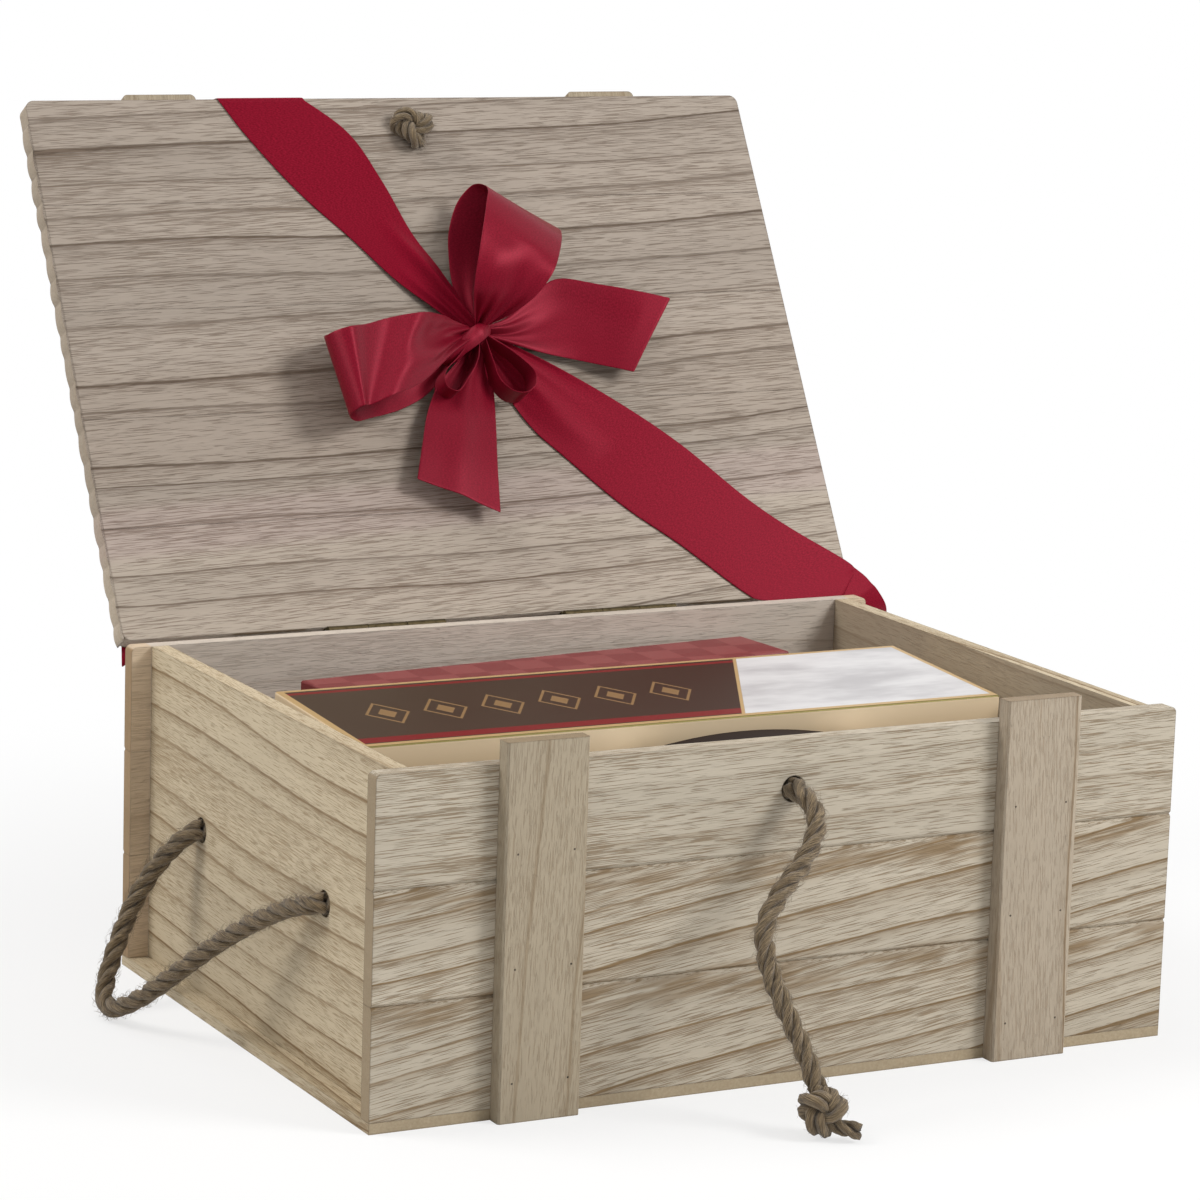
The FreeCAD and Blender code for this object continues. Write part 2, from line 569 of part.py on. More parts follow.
TAIL_STATIONS = (
    (beside_tie(3.4), 3.4, 9, 0), (20, 3.2, 24, 0), (38, 3.8, 34, 0), (56, 6, WIDTH, 1.5),
    (72, 9, WIDTH, 2), (86, 12, WIDTH, 2),
)
for name, angle, stations in (("bow_upper_loop", 62, loop_stations(66)),
                              ("bow_left_loop", 196, loop_stations(78)),
                              ("bow_right_tail", -4, TAIL_STATIONS),
                              ("bow_lower_tail", 250, TAIL_STATIONS)):
    keep(name, feature(name, strip(ray(angle, stations))), on_lid=True)

# The cartons, and the folded card that carries the long one
tilt = math.radians(size("top_carton_tilt"))
tilted = FreeCAD.Rotation(X_AXIS, size("top_carton_tilt"))
inner_face_y = DEPTH / 2 - size("panel_thk")
rear_angle = math.radians(size("rear_carton_turn"))
rear_reach = (size("rear_carton_length") * math.sin(rear_angle)
              + size("rear_carton_thk") * math.cos(rear_angle)) / 2
rear_y = inner_face_y - size("rear_carton_gap") - rear_reach
front_y = size("front_carton_room") + size("front_carton_thk") / 2 - inner_face_y

# The long carton fills the depth between the other two
top_front = front_y + size("front_carton_thk") / 2 + size("front_carton_gap")
top_back = rear_y - rear_reach - size("top_carton_gap")
half_width = (top_back - top_front - size("top_carton_thk") * math.sin(tilt)) / (2 * math.cos(tilt))
top_middle = V(0, top_front + half_width * math.cos(tilt), TOP - size("top_carton_drop"))


def carton_point(y, z):
    """A point of the tilted carton's middle section, from the middle of its top."""
    return top_middle + tilted.multVec(V(0, y, z))


def rounded_carton(label, span, placement):
    """A closed carton with its edges rounded, on its own placement."""
    blank = box(f"{label}_blank", span, ("0", "0", "0"))
    carton = ease("Part::Fillet", label, blank, size("carton_edge"), lambda p: True)
    carton.Placement = placement
    keep(label, carton)


half_length = SIDE_INNER - size("top_carton_room")
top_length = "(box_length - 2 * (end_overhang + panel_thk + top_carton_room))"
corner = carton_point(-half_width, -size("top_carton_thk")) - X_AXIS * half_length
rounded_carton("top_carton", (top_length, str(2 * half_width), "top_carton_thk"),
               FreeCAD.Placement(corner, tilted))

rear_turn = FreeCAD.Rotation(Z_AXIS, size("rear_carton_turn"))
rear_corner = V(0, rear_y, size("bottom_thk"))
rear_corner += rear_turn.multVec(V(-size("rear_carton_length") / 2, -size("rear_carton_thk") / 2, 0))
rear_height = "wall_height - rear_carton_drop - bottom_thk"
rounded_carton("rear_carton", ("rear_carton_length", "rear_carton_thk", rear_height),
               FreeCAD.Placement(rear_corner, rear_turn))


def outline_body(label, plane, points, arcs, length, offset):
    """A body padded from one closed outline; a point named in arcs is the middle of an arc."""
    body = doc.addObject("PartDesign::Body", label)
    sketch = body.newObject("Sketcher::SketchObject", f"{label}_outline")
    sketch.AttachmentSupport = [(next(f for f in body.Origin.OriginFeatures if f.Role == plane), "")]
    sketch.MapMode = "FlatFace"
    corners = [k for k in range(len(points)) if k not in arcs]
    for k, following in zip(corners, corners[1:] + corners[:1]):
        if k + 1 in arcs:
            sketch.addGeometry(Part.Arc(points[k], points[k + 1], points[following]))
        else:
            sketch.addGeometry(Part.LineSegment(points[k], points[following]))
    pad = body.newObject("PartDesign::Pad", f"{label}_pad")
    pad.Profile = sketch
    bind(pad, "Length", length)
    pad.SideType = "Symmetric"
    body.Placement = FreeCAD.Placement(offset, FreeCAD.Rotation())
    return keep(label, body)


front_half = size("front_carton_length") / 2
front_crown = TOP - size("front_carton_drop")
front_shoulder = front_crown - size("front_carton_crown")
floor = size("bottom_thk")
front_outline = [V(-front_half, floor, 0), V(front_half, floor, 0), V(front_half, front_shoulder, 0),
                 V(0, front_crown, 0), V(-front_half, front_shoulder, 0)]
outline_body("front_carton", "XZ_Plane", front_outline, (3,), "front_carton_thk",
             V(size("front_carton_shift"), front_y, 0))

card = size("card_thk")
crease_front = carton_point(card - half_width, -size("top_carton_thk"))
crease_back = carton_point(half_width - card, -size("top_carton_thk"))
slope = math.tan(tilt)
under = card / math.cos(tilt)
riser_outline = [V(crease_front.y, floor, 0), V(crease_front.y + card, floor, 0),
                 V(crease_front.y + card, crease_front.z + card * slope - under, 0),
                 V(crease_back.y - card, crease_back.z - card * slope - under, 0),
                 V(crease_back.y - card, floor, 0), V(crease_back.y, floor, 0),
                 V(crease_back.y, crease_back.z, 0), V(crease_front.y, crease_front.z, 0)]
outline_body("card_riser", "YZ_Plane", riser_outline, (), f"{top_length} - 2 * riser_inset", V(0, 0, 0))

# The lid's pose: everything on the lid turns about the hinge axis
doc.recompute()
lid_turn = FreeCAD.Rotation(X_AXIS, -size("lid_open_angle"))
lid_pose = FreeCAD.Placement(V(0, 0, 0), lid_turn, V(0, HINGE_Y, HINGE_Z))
for piece in lid_parts:
    piece.Placement = lid_pose.multiply(piece.Placement)
doc.recompute()

for item in doc.Objects:
    if "Invalid" in item.State or "Error" in item.State:
        raise RuntimeError(f"{item.Label} failed: {item.State}")
for label, piece in parts.items():
    if piece.Shape.isNull() or not piece.Shape.isValid() or not piece.Shape.Solids:
        raise RuntimeError(f"{label} has no valid solid")

os.makedirs("parts", exist_ok=True)
for label, piece in parts.items():
    piece.Shape.exportStep(f"parts/{label}.step")
print(len(parts), "sub-parts")
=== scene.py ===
"""Looks of the gift hamper: wood, rope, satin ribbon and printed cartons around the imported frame.

Metres, +Z up, in the frame of the solids. Routes and ribbon points are written in millimetres.
"""
import json
import math
import random
from collections import namedtuple

import bpy
import numpy as np
from mathutils import Matrix, Vector


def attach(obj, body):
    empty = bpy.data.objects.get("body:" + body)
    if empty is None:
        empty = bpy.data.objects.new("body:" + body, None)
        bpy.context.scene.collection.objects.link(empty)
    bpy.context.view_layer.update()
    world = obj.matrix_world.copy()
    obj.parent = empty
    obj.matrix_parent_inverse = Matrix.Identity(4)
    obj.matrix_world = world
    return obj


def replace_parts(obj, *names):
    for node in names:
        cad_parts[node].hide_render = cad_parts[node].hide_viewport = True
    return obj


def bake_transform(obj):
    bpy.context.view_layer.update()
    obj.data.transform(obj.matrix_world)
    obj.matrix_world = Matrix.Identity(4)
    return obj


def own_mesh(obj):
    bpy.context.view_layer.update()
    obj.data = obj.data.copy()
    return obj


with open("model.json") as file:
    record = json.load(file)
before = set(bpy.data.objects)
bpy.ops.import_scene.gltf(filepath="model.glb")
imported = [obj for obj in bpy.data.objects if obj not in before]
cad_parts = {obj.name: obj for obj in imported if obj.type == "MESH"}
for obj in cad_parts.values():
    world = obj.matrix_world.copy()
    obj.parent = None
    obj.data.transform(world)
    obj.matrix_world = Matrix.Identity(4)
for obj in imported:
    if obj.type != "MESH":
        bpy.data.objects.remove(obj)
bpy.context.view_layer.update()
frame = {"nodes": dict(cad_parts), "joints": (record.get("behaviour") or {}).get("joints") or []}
nodes = frame["nodes"]
scene = bpy.context.scene
scene.view_settings.view_transform = "Standard"
dice = random.Random(7)
MM = 0.001
X, Y, Z = Vector((1, 0, 0)), Vector((0, 1, 0)), Vector((0, 0, 1))
# Faces of the box in millimetres: the front, and a side panel's outside and inside
FRONT, SIDE_FACE, SIDE_INNER, PANEL_THK = -128, 171, 163.5, 7.5

# Camera at the photograph's place
EYE = Vector((-844.763, -1568.376, 511.882)) * MM
AZIMUTH, ELEVATION, ROLL = (math.radians(a) for a in (-27.707, 10.826, 1.803))
FOCAL_PIXELS, FRAME_PIXELS, SENSOR = 4367.571, 1200, 36.0
NEAREST, FARTHEST = 0.05, 50

back = Vector((math.sin(AZIMUTH) * math.cos(ELEVATION), -math.cos(AZIMUTH) * math.cos(ELEVATION),
               math.sin(ELEVATION)))
level_right = (-back).cross(Z).normalized()
level_up = level_right.cross(-back)
cam_right = level_right * math.cos(ROLL) + level_up * math.sin(ROLL)
cam_up = level_up * math.cos(ROLL) - level_right * math.sin(ROLL)
camera = bpy.data.objects.new("camera", bpy.data.cameras.new("camera"))
camera.data.sensor_width = SENSOR
camera.data.lens = SENSOR * FOCAL_PIXELS / FRAME_PIXELS
camera.data.clip_start, camera.data.clip_end = NEAREST, FARTHEST
camera.matrix_world = Matrix.Translation(EYE) @ Matrix((cam_right, cam_up, back)).transposed().to_4x4()
scene.collection.objects.link(camera)
scene.camera = camera


# Materials
def rgb(red, green, blue):
    """A display colour, 0 to 255, as the linear colour that nodes use."""
    shares = [c / 255 for c in (red, green, blue)]
    return (*[c / 12.92 if c <= 0.04045 else ((c + 0.055) / 1.055) ** 2.4 for c in shares], 1)


def darker(colour, share):
    return tuple(c * share for c in colour[:3]) + (1,)


class Graph:
    """The nodes of a material or a world. Inputs are values or other nodes' outputs."""

    def __init__(self, owner):
        owner.use_nodes = True
        self.owner, self.tree = owner, owner.node_tree
        self.tree.nodes.clear()

    def add(self, kind, inputs=None, **settings):
        node = self.tree.nodes.new("ShaderNode" + kind)
        for key, value in settings.items():
            setattr(node, key, value)
        for key, value in (inputs or {}).items():
            if isinstance(value, bpy.types.NodeSocket):
                self.tree.links.new(value, node.inputs[key])
            else:
                node.inputs[key].default_value = value
        return node

    def calc(self, operation, first, second=0.0, third=0.0):
        return self.add("Math", {0: first, 1: second, 2: third}, operation=operation).outputs[0]

    def times(self, first, second):
        return self.calc("MULTIPLY", first, second)

    def apart(self, value, middle):
        """How far a value is from a middle, to either side."""
        return self.calc("ABSOLUTE", self.calc("SUBTRACT", value, middle))

    def dot(self, vector, axis):
        return self.add("VectorMath", {0: vector, 1: axis}, operation="DOT_PRODUCT").outputs["Value"]

    def vector(self, x, y, z):
        return self.add("CombineXYZ", {0: x, 1: y, 2: z}).outputs[0]

    def noise(self, place, scale=1.0, detail=2.0, rough=0.5):
        inputs = {"Vector": place, "Scale": scale, "Detail": detail, "Roughness": rough}
        return self.add("TexNoise", inputs).outputs[0]

    def stretched(self, first, second, third=0.0, detail=2.0, rough=0.5):
        """Noise over three measures, each a fixed value or a (measure, scale) pair."""
        scaled = [self.times(*m) if isinstance(m, tuple) else m for m in (first, second, third)]
        return self.noise(self.vector(*scaled), detail=detail, rough=rough)

    def chance(self, number):
        """A value from 0 to 1 of a whole number's own."""
        return self.add("TexWhiteNoise", {"W": number}, noise_dimensions="1D").outputs["Value"]

    def sway(self, value, noise, amount):
        """A value that noise moves to both sides by up to half the amount."""
        return self.calc("MULTIPLY_ADD", self.calc("SUBTRACT", noise, 0.5), amount, value)

    def vary(self, value, noise, amount, base):
        """A value times a base that noise adds to."""
        return self.times(value, self.calc("MULTIPLY_ADD", noise, amount, base))

    def ramp(self, factor, stops):
        """A grey ramp through (place, value) stops."""
        node = self.add("ValToRGB", {0: factor})
        elements = node.color_ramp.elements
        while len(elements) < len(stops):
            elements.new(0.5)
        for element, (place, value) in zip(elements, stops):
            element.position, element.color = place, (value, value, value, 1)
        return node.outputs[0]

    def span(self, value, low, high):
        """0 below low, 1 above high, smooth between; the other way round where low is above high."""
        inputs = {"Value": value, "From Min": low, "From Max": high}
        return self.add("MapRange", inputs, interpolation_type="SMOOTHSTEP").outputs[0]

    def within(self, value, low, high, soft):
        """1 from low to high, 0 outside, with soft ends."""
        rises, falls = self.span(value, low - soft, low + soft), self.span(value, high + soft, high - soft)
        return self.times(rises, falls)

    def mix(self, factor, first, second, blend="MIX"):
        inputs = {0: factor, 6: first, 7: second}
        return self.add("Mix", inputs, data_type="RGBA", blend_type=blend).outputs[2]

    def bump(self, height, distance, strength=1.0, normal=None):
        inputs = {"Height": height, "Distance": distance, "Strength": strength}
        if normal is not None:
            inputs["Normal"] = normal
        return self.add("Bump", inputs).outputs[0]

    def straight(self):
        """1 for what is seen straight, in a mirror or through glass, 0 for light that falls on things."""
        ray = self.add("LightPath").outputs
        indirect = self.calc("MAXIMUM", ray["Is Glossy Ray"], ray["Is Transmission Ray"])
        return self.calc("MAXIMUM", ray["Is Camera Ray"], indirect)

    def end(self, shader, output="OutputMaterial"):
        """The owner, with a shader as its surface."""
        self.tree.links.new(shader.outputs[0], self.add(output).inputs["Surface"])
        return self.owner

    def finish(self, inputs):
        """The material, with a surface of these inputs."""
        return self.end(self.add("BsdfPrincipled", inputs))


def material_graph(name):
    return Graph(bpy.data.materials.new(name))


# Spacing is in metres and pore_rate per metre. The depths and beside, the shade next to a band, are shares
Look = namedtuple("Look", "pale band pore end spacing band_depth beside pore_depth pore_rate")
WOODS = {
    "front": Look(rgb(190, 180, 163), rgb(132, 109, 78), rgb(130, 110, 84), rgb(160, 144, 119),
                  0.0130, 1.0, 0.65, 0.75, 66),
    "side": Look(rgb(196, 181, 154), rgb(126, 101, 68), rgb(140, 117, 87), rgb(188, 173, 147),
                 0.0145, 1.0, 0.6, 0.65, 95),
    "batten": Look(rgb(170, 157, 136), rgb(126, 104, 74), rgb(134, 115, 91), rgb(146, 130, 106),
                   0.0300, 0.8, 0.3, 0.4, 150),
    "lid": Look(rgb(164, 152, 140), rgb(90, 75, 62), rgb(118, 103, 90), rgb(180, 166, 148),
                0.0180, 1.0, 0.35, 0.75, 70),
    "inside": Look(rgb(204, 193, 181), rgb(150, 134, 117), rgb(150, 136, 121), rgb(150, 130, 102),
                   0.0450, 0.5, 0.5, 0.3, 95),
}
# Painted shade tints: browner for the back wall's ends past the side panels, greyer and darker inside
END_SHADE_TINT, INNER_SHADE_TINT = (1.05, 0.94, 0.78, 1), (0.78, 0.77, 0.80, 1)
END_SHADE_SOFT, ZONE_SOFT = 0.0005, 0.004
BAND_DRIFT, BAND_LEAN, BAND_UNEVEN, BAND_JITTER = 0.034, 0.7, 2.2, 0.08
FLAME_SWAY, FLAME_DEPTH = 0.020, 0.9
PORES_ACROSS, FIBRES_ACROSS = 2900, 2600
EDGE_RADIUS, GRAIN_HEIGHT = 0.0009, 0.00022


class Grain:
    """Measures along, across and into the grain of a piece of wood, and noise drawn out along it."""

    def __init__(self, g, place, along, over, tilt, seed):
        turn = math.radians(tilt)
        grain = along * math.cos(turn) + over * math.sin(turn)
        cross = over * math.cos(turn) - along * math.sin(turn)
        self.g, self.seed = g, seed
        self.run = g.calc("ADD", g.dot(place, grain), seed * 0.37)
        self.side = g.dot(place, cross)
        self.deep = g.dot(place, grain.cross(cross))

    def streaks(self, per_run, per_side, detail, rough=0.5):
        scaled = (self.run, per_run), (self.side, per_side), (self.deep, per_side)
        return self.g.stretched(*scaled, detail, rough)


def growth_bands(g, grain, look, strength):
    """How dark the growth bands are, the share of the way through a ring, and the ring's number.

    Bands drift and bend along the plank, and are unevenly spaced.
    """
    drift = g.stretched((grain.run, 3.2), (grain.side, 9), grain.seed, detail=1.5)
    rings = g.calc("ADD", grain.side, g.times(grain.deep, BAND_LEAN))
    rings = g.sway(rings, drift, BAND_DRIFT)
    uneven = g.stretched((rings, 38), grain.seed * 1.7, (grain.run, 0.8), detail=1)
    phase = g.calc("ADD", g.calc("DIVIDE", rings, look.spacing), g.times(uneven, BAND_UNEVEN))
    phase = g.sway(phase, grain.streaks(110, 1300, 3), BAND_JITTER)
    share, ring = g.calc("FRACT", phase), g.calc("FLOOR", phase)
    late = g.ramp(share, ((0, 0.05), (0.5, 0), (0.74, 0.3 * look.beside), (0.89, 0.62 * look.beside),
                          (0.93, 1), (0.965, 0.9), (1, 0.05)))
    late = g.vary(late, g.chance(g.calc("ADD", ring, grain.seed)), 0.6, 0.5)
    late = g.vary(late, g.stretched((grain.run, 7), (ring, 3.1), grain.seed, detail=1), 0.9, 0.55)
    return g.times(late, look.band_depth * strength), share, ring


def with_flames(g, grain, late, level, flames):
    """The bands with dark streaks that lick along the grain."""
    for height, half_width in flames:
        lick = g.sway(level, grain.streaks(11, 60, 3), FLAME_SWAY)
        away = g.calc("DIVIDE", g.apart(lick, height), half_width)
        flame = g.times(g.span(away, 1, 0), g.span(grain.streaks(26, 320, 3), 0.36, 0.62))
        late = g.calc("MAXIMUM", late, g.times(flame, FLAME_DEPTH))
    return late


def wood(name, look, along, over, tilt, seed, strength=1.0, flames=(), browned_from=None, zones=(),
         inner=None):
    """Brushed pale wood: growth bands, pores and fibres along the grain, end grain, and darkened edges.

    tilt turns the grain in the face, in degrees; flames are dark streaks at (height, half width) in metres;
    past the distance in metres given for the browner ends, all but the back face is browner, painted shade;
    zones are tinted from one height to another; inner is the direction that an inner face looks, which has
    fainter bands and a greyer, darker tint of painted shade.
    """
    look = WOODS[look]
    g = material_graph(name)
    coordinates = g.add("TexCoord").outputs
    place, normal = coordinates["Object"], coordinates["Normal"]
    grain = Grain(g, place, along, over, tilt, seed)
    late, share, ring = growth_bands(g, grain, look, strength)
    late = with_flames(g, grain, late, g.dot(place, over), flames)
    # Pores are short dark dashes, closer together beside a band
    beside = g.ramp(share, ((0, 0.25), (0.3, 0.1), (0.7, 0.5), (0.93, 1), (1, 0.25)))
    blotch = g.stretched((grain.run, 9), (grain.side, 30), seed)
    crowd = g.sway(g.times(beside, 0.07), blotch, 0.22)
    pores = g.span(g.calc("ADD", crowd, grain.streaks(look.pore_rate, PORES_ACROSS, 2)), 0.56, 0.63)
    fibre = grain.streaks(40, FIBRES_ACROSS, 3, 0.6)
    colour = g.mix(g.calc("MINIMUM", late, 1.0), look.pale, look.band)
    colour = g.mix(g.times(pores, look.pore_depth), colour, look.pore)
    tone = g.calc("MULTIPLY_ADD", fibre, 0.26, g.calc("MULTIPLY_ADD", blotch, 0.20, 0.75))
    tone = g.vary(tone, g.chance(g.calc("ADD", ring, seed + 50)), 0.10, 0.95)
    colour = g.mix(1.0, colour, g.vector(tone, tone, g.times(tone, 0.995)), "MULTIPLY")
    # End grain is speckled, and some faces and heights have a tint of their own
    speckle = g.mix(g.noise(place, 900, 3), look.end, g.mix(0.5, look.end, look.band))
    colour = g.mix(g.span(g.calc("ABSOLUTE", g.dot(normal, along)), 0.6, 0.9), colour, speckle)
    # Painted shade: past the given distance, all faces but the back one are browner
    if browned_from:
        painted_end_shade = g.span(g.calc("ABSOLUTE", g.dot(place, along)),
                     browned_from - END_SHADE_SOFT, browned_from + END_SHADE_SOFT)
        painted_end_shade = g.times(painted_end_shade, g.span(g.dot(normal, Y), 0.9, 0.5))
        colour = g.mix(painted_end_shade, colour, END_SHADE_TINT, "MULTIPLY")
    # An inner face has fainter bands, and a greyer, darker tint that is painted shade
    if inner:
        inward = g.span(g.dot(normal, inner), 0.5, 0.9)
        colour = g.mix(g.times(inward, 0.6), colour, look.pale)
        colour = g.mix(inward, colour, INNER_SHADE_TINT, "MULTIPLY")
    for low, high, tint in zones:
        colour = g.mix(g.within(grain.side, low, high, ZONE_SOFT), colour, tint, "MULTIPLY")
    # Edges are eased, and darker along them in patches
    eased = g.add("Bevel", {"Radius": EDGE_RADIUS}, samples=4).outputs[0]
    flat = g.add("NewGeometry").outputs["True Normal"]
    edge = g.span(g.calc("SUBTRACT", 1.0, g.dot(eased, flat)), 0.01, 0.22)
    colour = g.mix(g.vary(edge, blotch, 0.7, 0.05), colour, darker(look.band, 0.45))
    height = g.calc("SUBTRACT", g.times(fibre, 0.5), g.times(pores, 0.6))
    return g.finish({"Base Color": colour, "Roughness": g.calc("MULTIPLY_ADD", pores, 0.15, 0.6),
                     "Specular IOR Level": 0.25, "Normal": g.bump(height, GRAIN_HEIGHT, 0.8, eased)})


def paint(node, material):
    """Give a CAD node one material."""
    nodes[node].data.materials.clear()
    nodes[node].data.materials.append(material)


def paint_wood(node, *place, **looks):
    paint(node, wood(node + "_wood", *place, **looks))


def metal(name, colour, rough):
    """Dull metal with fine scratches and spots of tarnish."""
    g = material_graph(name)
    place = g.add("TexCoord").outputs["Object"]
    spots = g.noise(place, 420, 4)
    scratch = g.stretched((g.dot(place, X), 300), (g.dot(place, Z), 4000))
    shade = g.mix(g.span(spots, 0.45, 0.75), colour, darker(colour, 0.55))
    return g.finish({"Base Color": shade, "Metallic": 1.0, "Normal": g.bump(scratch, 0.00005),
                     "Roughness": g.calc("ADD", g.times(spots, 0.25), rough)})


def jute():
    """Jute yarn: fibres along the yarn from the rope's own coordinates, and painted shade in the grooves."""
    g = material_graph("jute")
    place = g.add("UVMap", uv_map="lay").outputs[0]
    fibre = g.stretched((g.dot(place, X), 260), (g.dot(place, Y), 34), detail=4, rough=0.65)
    blotch = g.noise(g.add("TexCoord").outputs["Object"], 170, 3)
    groove_shade = g.add("Attribute", attribute_name="groove_shade").outputs["Fac"]
    colour = g.mix(g.span(fibre, 0.34, 0.66), rgb(52, 38, 24), rgb(154, 134, 103))
    colour = g.mix(g.span(blotch, 0.45, 0.8), colour, rgb(108, 90, 65))
    # Painted shade, deeper the farther a point lies between the strands
    colour = g.mix(g.times(groove_shade, 0.8), colour, rgb(52, 40, 27))
    return g.finish({"Base Color": colour, "Roughness": 0.9, "Specular IOR Level": 0.15,
                     "Sheen Weight": 0.25, "Sheen Roughness": 0.6, "Normal": g.bump(fibre, 0.0006, 0.9)})


def satin(name, depth, rough, shine):
    """Red satin: a fine weave, and a shine that its threads spread across the ribbon.

    depth scales its colour; where it is below 1 it darkens a copy of one satin as painted shade.
    """
    g = material_graph(name)
    place = g.add("UVMap", uv_map="lay").outputs[0]
    along, across = g.dot(place, X), g.dot(place, Y)
    weave = g.stretched((along, 1900), (across, 1000))
    slub = g.stretched((along, 40), (across, 500))
    colour = g.mix(g.span(weave, 0.25, 0.75), rgb(95, 4, 23), rgb(137, 19, 42))
    colour = g.mix(g.times(slub, 0.4), colour, rgb(114, 10, 31))
    colour = g.mix(1.0, colour, (depth, depth, depth, 1), "MULTIPLY")
    threads = g.add("Tangent", direction_type="UV_MAP", uv_map="lay").outputs[0]
    return g.finish({"Base Color": colour, "Roughness": rough, "Specular IOR Level": shine,
                     "Anisotropic": 0.8, "Anisotropic Rotation": 0.25, "Tangent": threads,
                     "Specular Tint": rgb(255, 100, 122), "Normal": g.bump(weave, 0.00006, 0.5)})


FRONT_WOODS = {
    # tilt of the grain, seed, strength of the bands, dark streaks
    1: (9.0, 1.3, 1.25, ((0.045, 0.009),)),
    2: (8.0, 4.1, 1.15, ((0.089, 0.008), (0.049, 0.005))),
    3: (1.5, 7.7, 0.3, ()),
}
for number, (tilt, seed, strength, flames) in FRONT_WOODS.items():
    paint_wood(f"front_plank_{number}", "front", X, Z, tilt, seed, strength, flames)
    # The back planks' ends past the side panels are browner, painted shade
    paint_wood(f"back_plank_{number}", "inside", X, Z, tilt / 2, seed + 20, browned_from=SIDE_FACE * MM)
# The right battens are paler all over
BATTEN_ZONES = {"left": (), "right": ((-1, 1, (1.10, 1.10, 1.16, 1)),)}
# Each side panel's inner face, inside the box, is greyer and darker: painted shade
for number, (side, inner) in enumerate((("left", X), ("right", -X))):
    paint_wood(f"{side}_side_panel", "side", -Y, Z, tilt=-2.2, seed=11.2 + 5 * number, inner=inner)
    for row, wall in enumerate(("front", "back")):
        paint_wood(f"{wall}_batten_{side}", "batten", Z, X, tilt=3.0 - 5 * number,
                   seed=14.7 + 3.3 * number + 8 * row, zones=BATTEN_ZONES[side])
paint_wood("bottom_panel", "side", Y, X, tilt=1.0, seed=31.0)

# Plain shapes on the cartons, in metres
PRINT_SOFT = 0.0002
LOZENGE_PITCH, LOZENGE_HALF_LONG, LOZENGE_HALF_WIDE, LOZENGE_Y = 0.026, 0.010, 0.016, -0.001
LOZENGES_X = (-0.130, 0.026)
STRIPES_Y = ((-0.0405, -0.0335), (0.0345, 0.0375))
FIELD_X, FIELD_Y = (-0.145, 0.145), (-0.0415, 0.0395)
PALE_FROM, PALE_SLANT, PALE_LINE = 0.047, 0.5, 0.0016
FACE_LOW, FACE_HIGH = 0.118, 0.130
EDGE_TURN, EDGE_SOFT = (0.12, 0.97), 0.02
CHECK_SCALE, CHECK_LOW, CHECK_HIGH = 62.0, 0.1262, 0.1275
ARCH_MIDDLE, ARCH_HALF, ARCH_LINE = 0.022, 0.0460, (0.0374, 0.0410)


def carton_gold():
    """The long carton: a brown field with gold lozenges, red stripes, a pale end and gold foil edges."""
    g = material_graph("carton_gold")
    coordinates = g.add("TexCoord").outputs
    place, normal = coordinates["Object"], coordinates["Normal"]
    x, y, z = (g.dot(place, axis) for axis in (X, Y, Z))
    upward, forward = g.dot(normal, Z), g.dot(normal, -Y)
    on_top = g.span(upward, 0.5, 0.9)
    brown = g.mix(g.span(x, -0.15, 0.04), rgb(62, 48, 34), rgb(47, 26, 14))
    brown = g.mix(g.times(g.noise(place, 22, 3), 0.5), brown, rgb(46, 30, 20))
    # Lozenges in a row, each an outline round a smaller one
    cell = g.apart(g.calc("FRACT", g.calc("DIVIDE", x, LOZENGE_PITCH)), 0.5)
    reach = g.calc("ADD", g.times(cell, LOZENGE_PITCH / LOZENGE_HALF_LONG),
                   g.calc("DIVIDE", g.apart(y, LOZENGE_Y), LOZENGE_HALF_WIDE))
    lozenge = g.calc("ADD", g.within(reach, 0.86, 1.0, 0.02), g.span(reach, 0.45, 0.40))
    row = g.times(lozenge, g.within(x, *LOZENGES_X, PRINT_SOFT))
    top = g.mix(g.times(row, 0.5), brown, rgb(170, 134, 88))
    stripes = g.calc("ADD", *[g.within(y, *stripe, PRINT_SOFT) for stripe in STRIPES_Y])
    top = g.mix(stripes, top, rgb(112, 18, 20))
    # The slanted pale end, and foil along it and round the field
    slant = g.calc("SUBTRACT", x, g.calc("MULTIPLY_ADD", y, PALE_SLANT, PALE_FROM))
    cloud = g.stretched((x, 14), (y, 40), detail=4, rough=0.6)
    pale = g.mix(g.span(cloud, 0.35, 0.7), rgb(210, 209, 210), rgb(176, 174, 176))
    top = g.mix(g.span(slant, -PRINT_SOFT, PRINT_SOFT), top, pale)
    field = g.times(g.within(x, *FIELD_X, PRINT_SOFT), g.within(y, *FIELD_Y, PRINT_SOFT))
    foil = g.calc("MAXIMUM", g.calc("SUBTRACT", 1.0, field), g.within(slant, -PALE_LINE, 0.0, PRINT_SOFT))
    top = g.mix(foil, top, rgb(190, 160, 112))
    face = g.mix(g.span(z, FACE_LOW, FACE_HIGH), rgb(214, 191, 157), rgb(240, 219, 186))
    # Painted sheen: soft streaks across the cream face
    face = g.mix(g.times(g.stretched((x, 9), (z, 60)), 0.5), face, rgb(210, 188, 154))
    colour = g.mix(on_top, face, top)
    edge = g.times(*[g.within(turn, *EDGE_TURN, EDGE_SOFT) for turn in (upward, forward)])
    colour = g.mix(edge, colour, rgb(112, 102, 56))
    shiny = g.calc("MAXIMUM", edge, g.times(foil, on_top))
    return g.finish({"Base Color": colour, "Metallic": g.times(shiny, 0.3), "Roughness": 0.4,
                     "Specular IOR Level": 0.2})


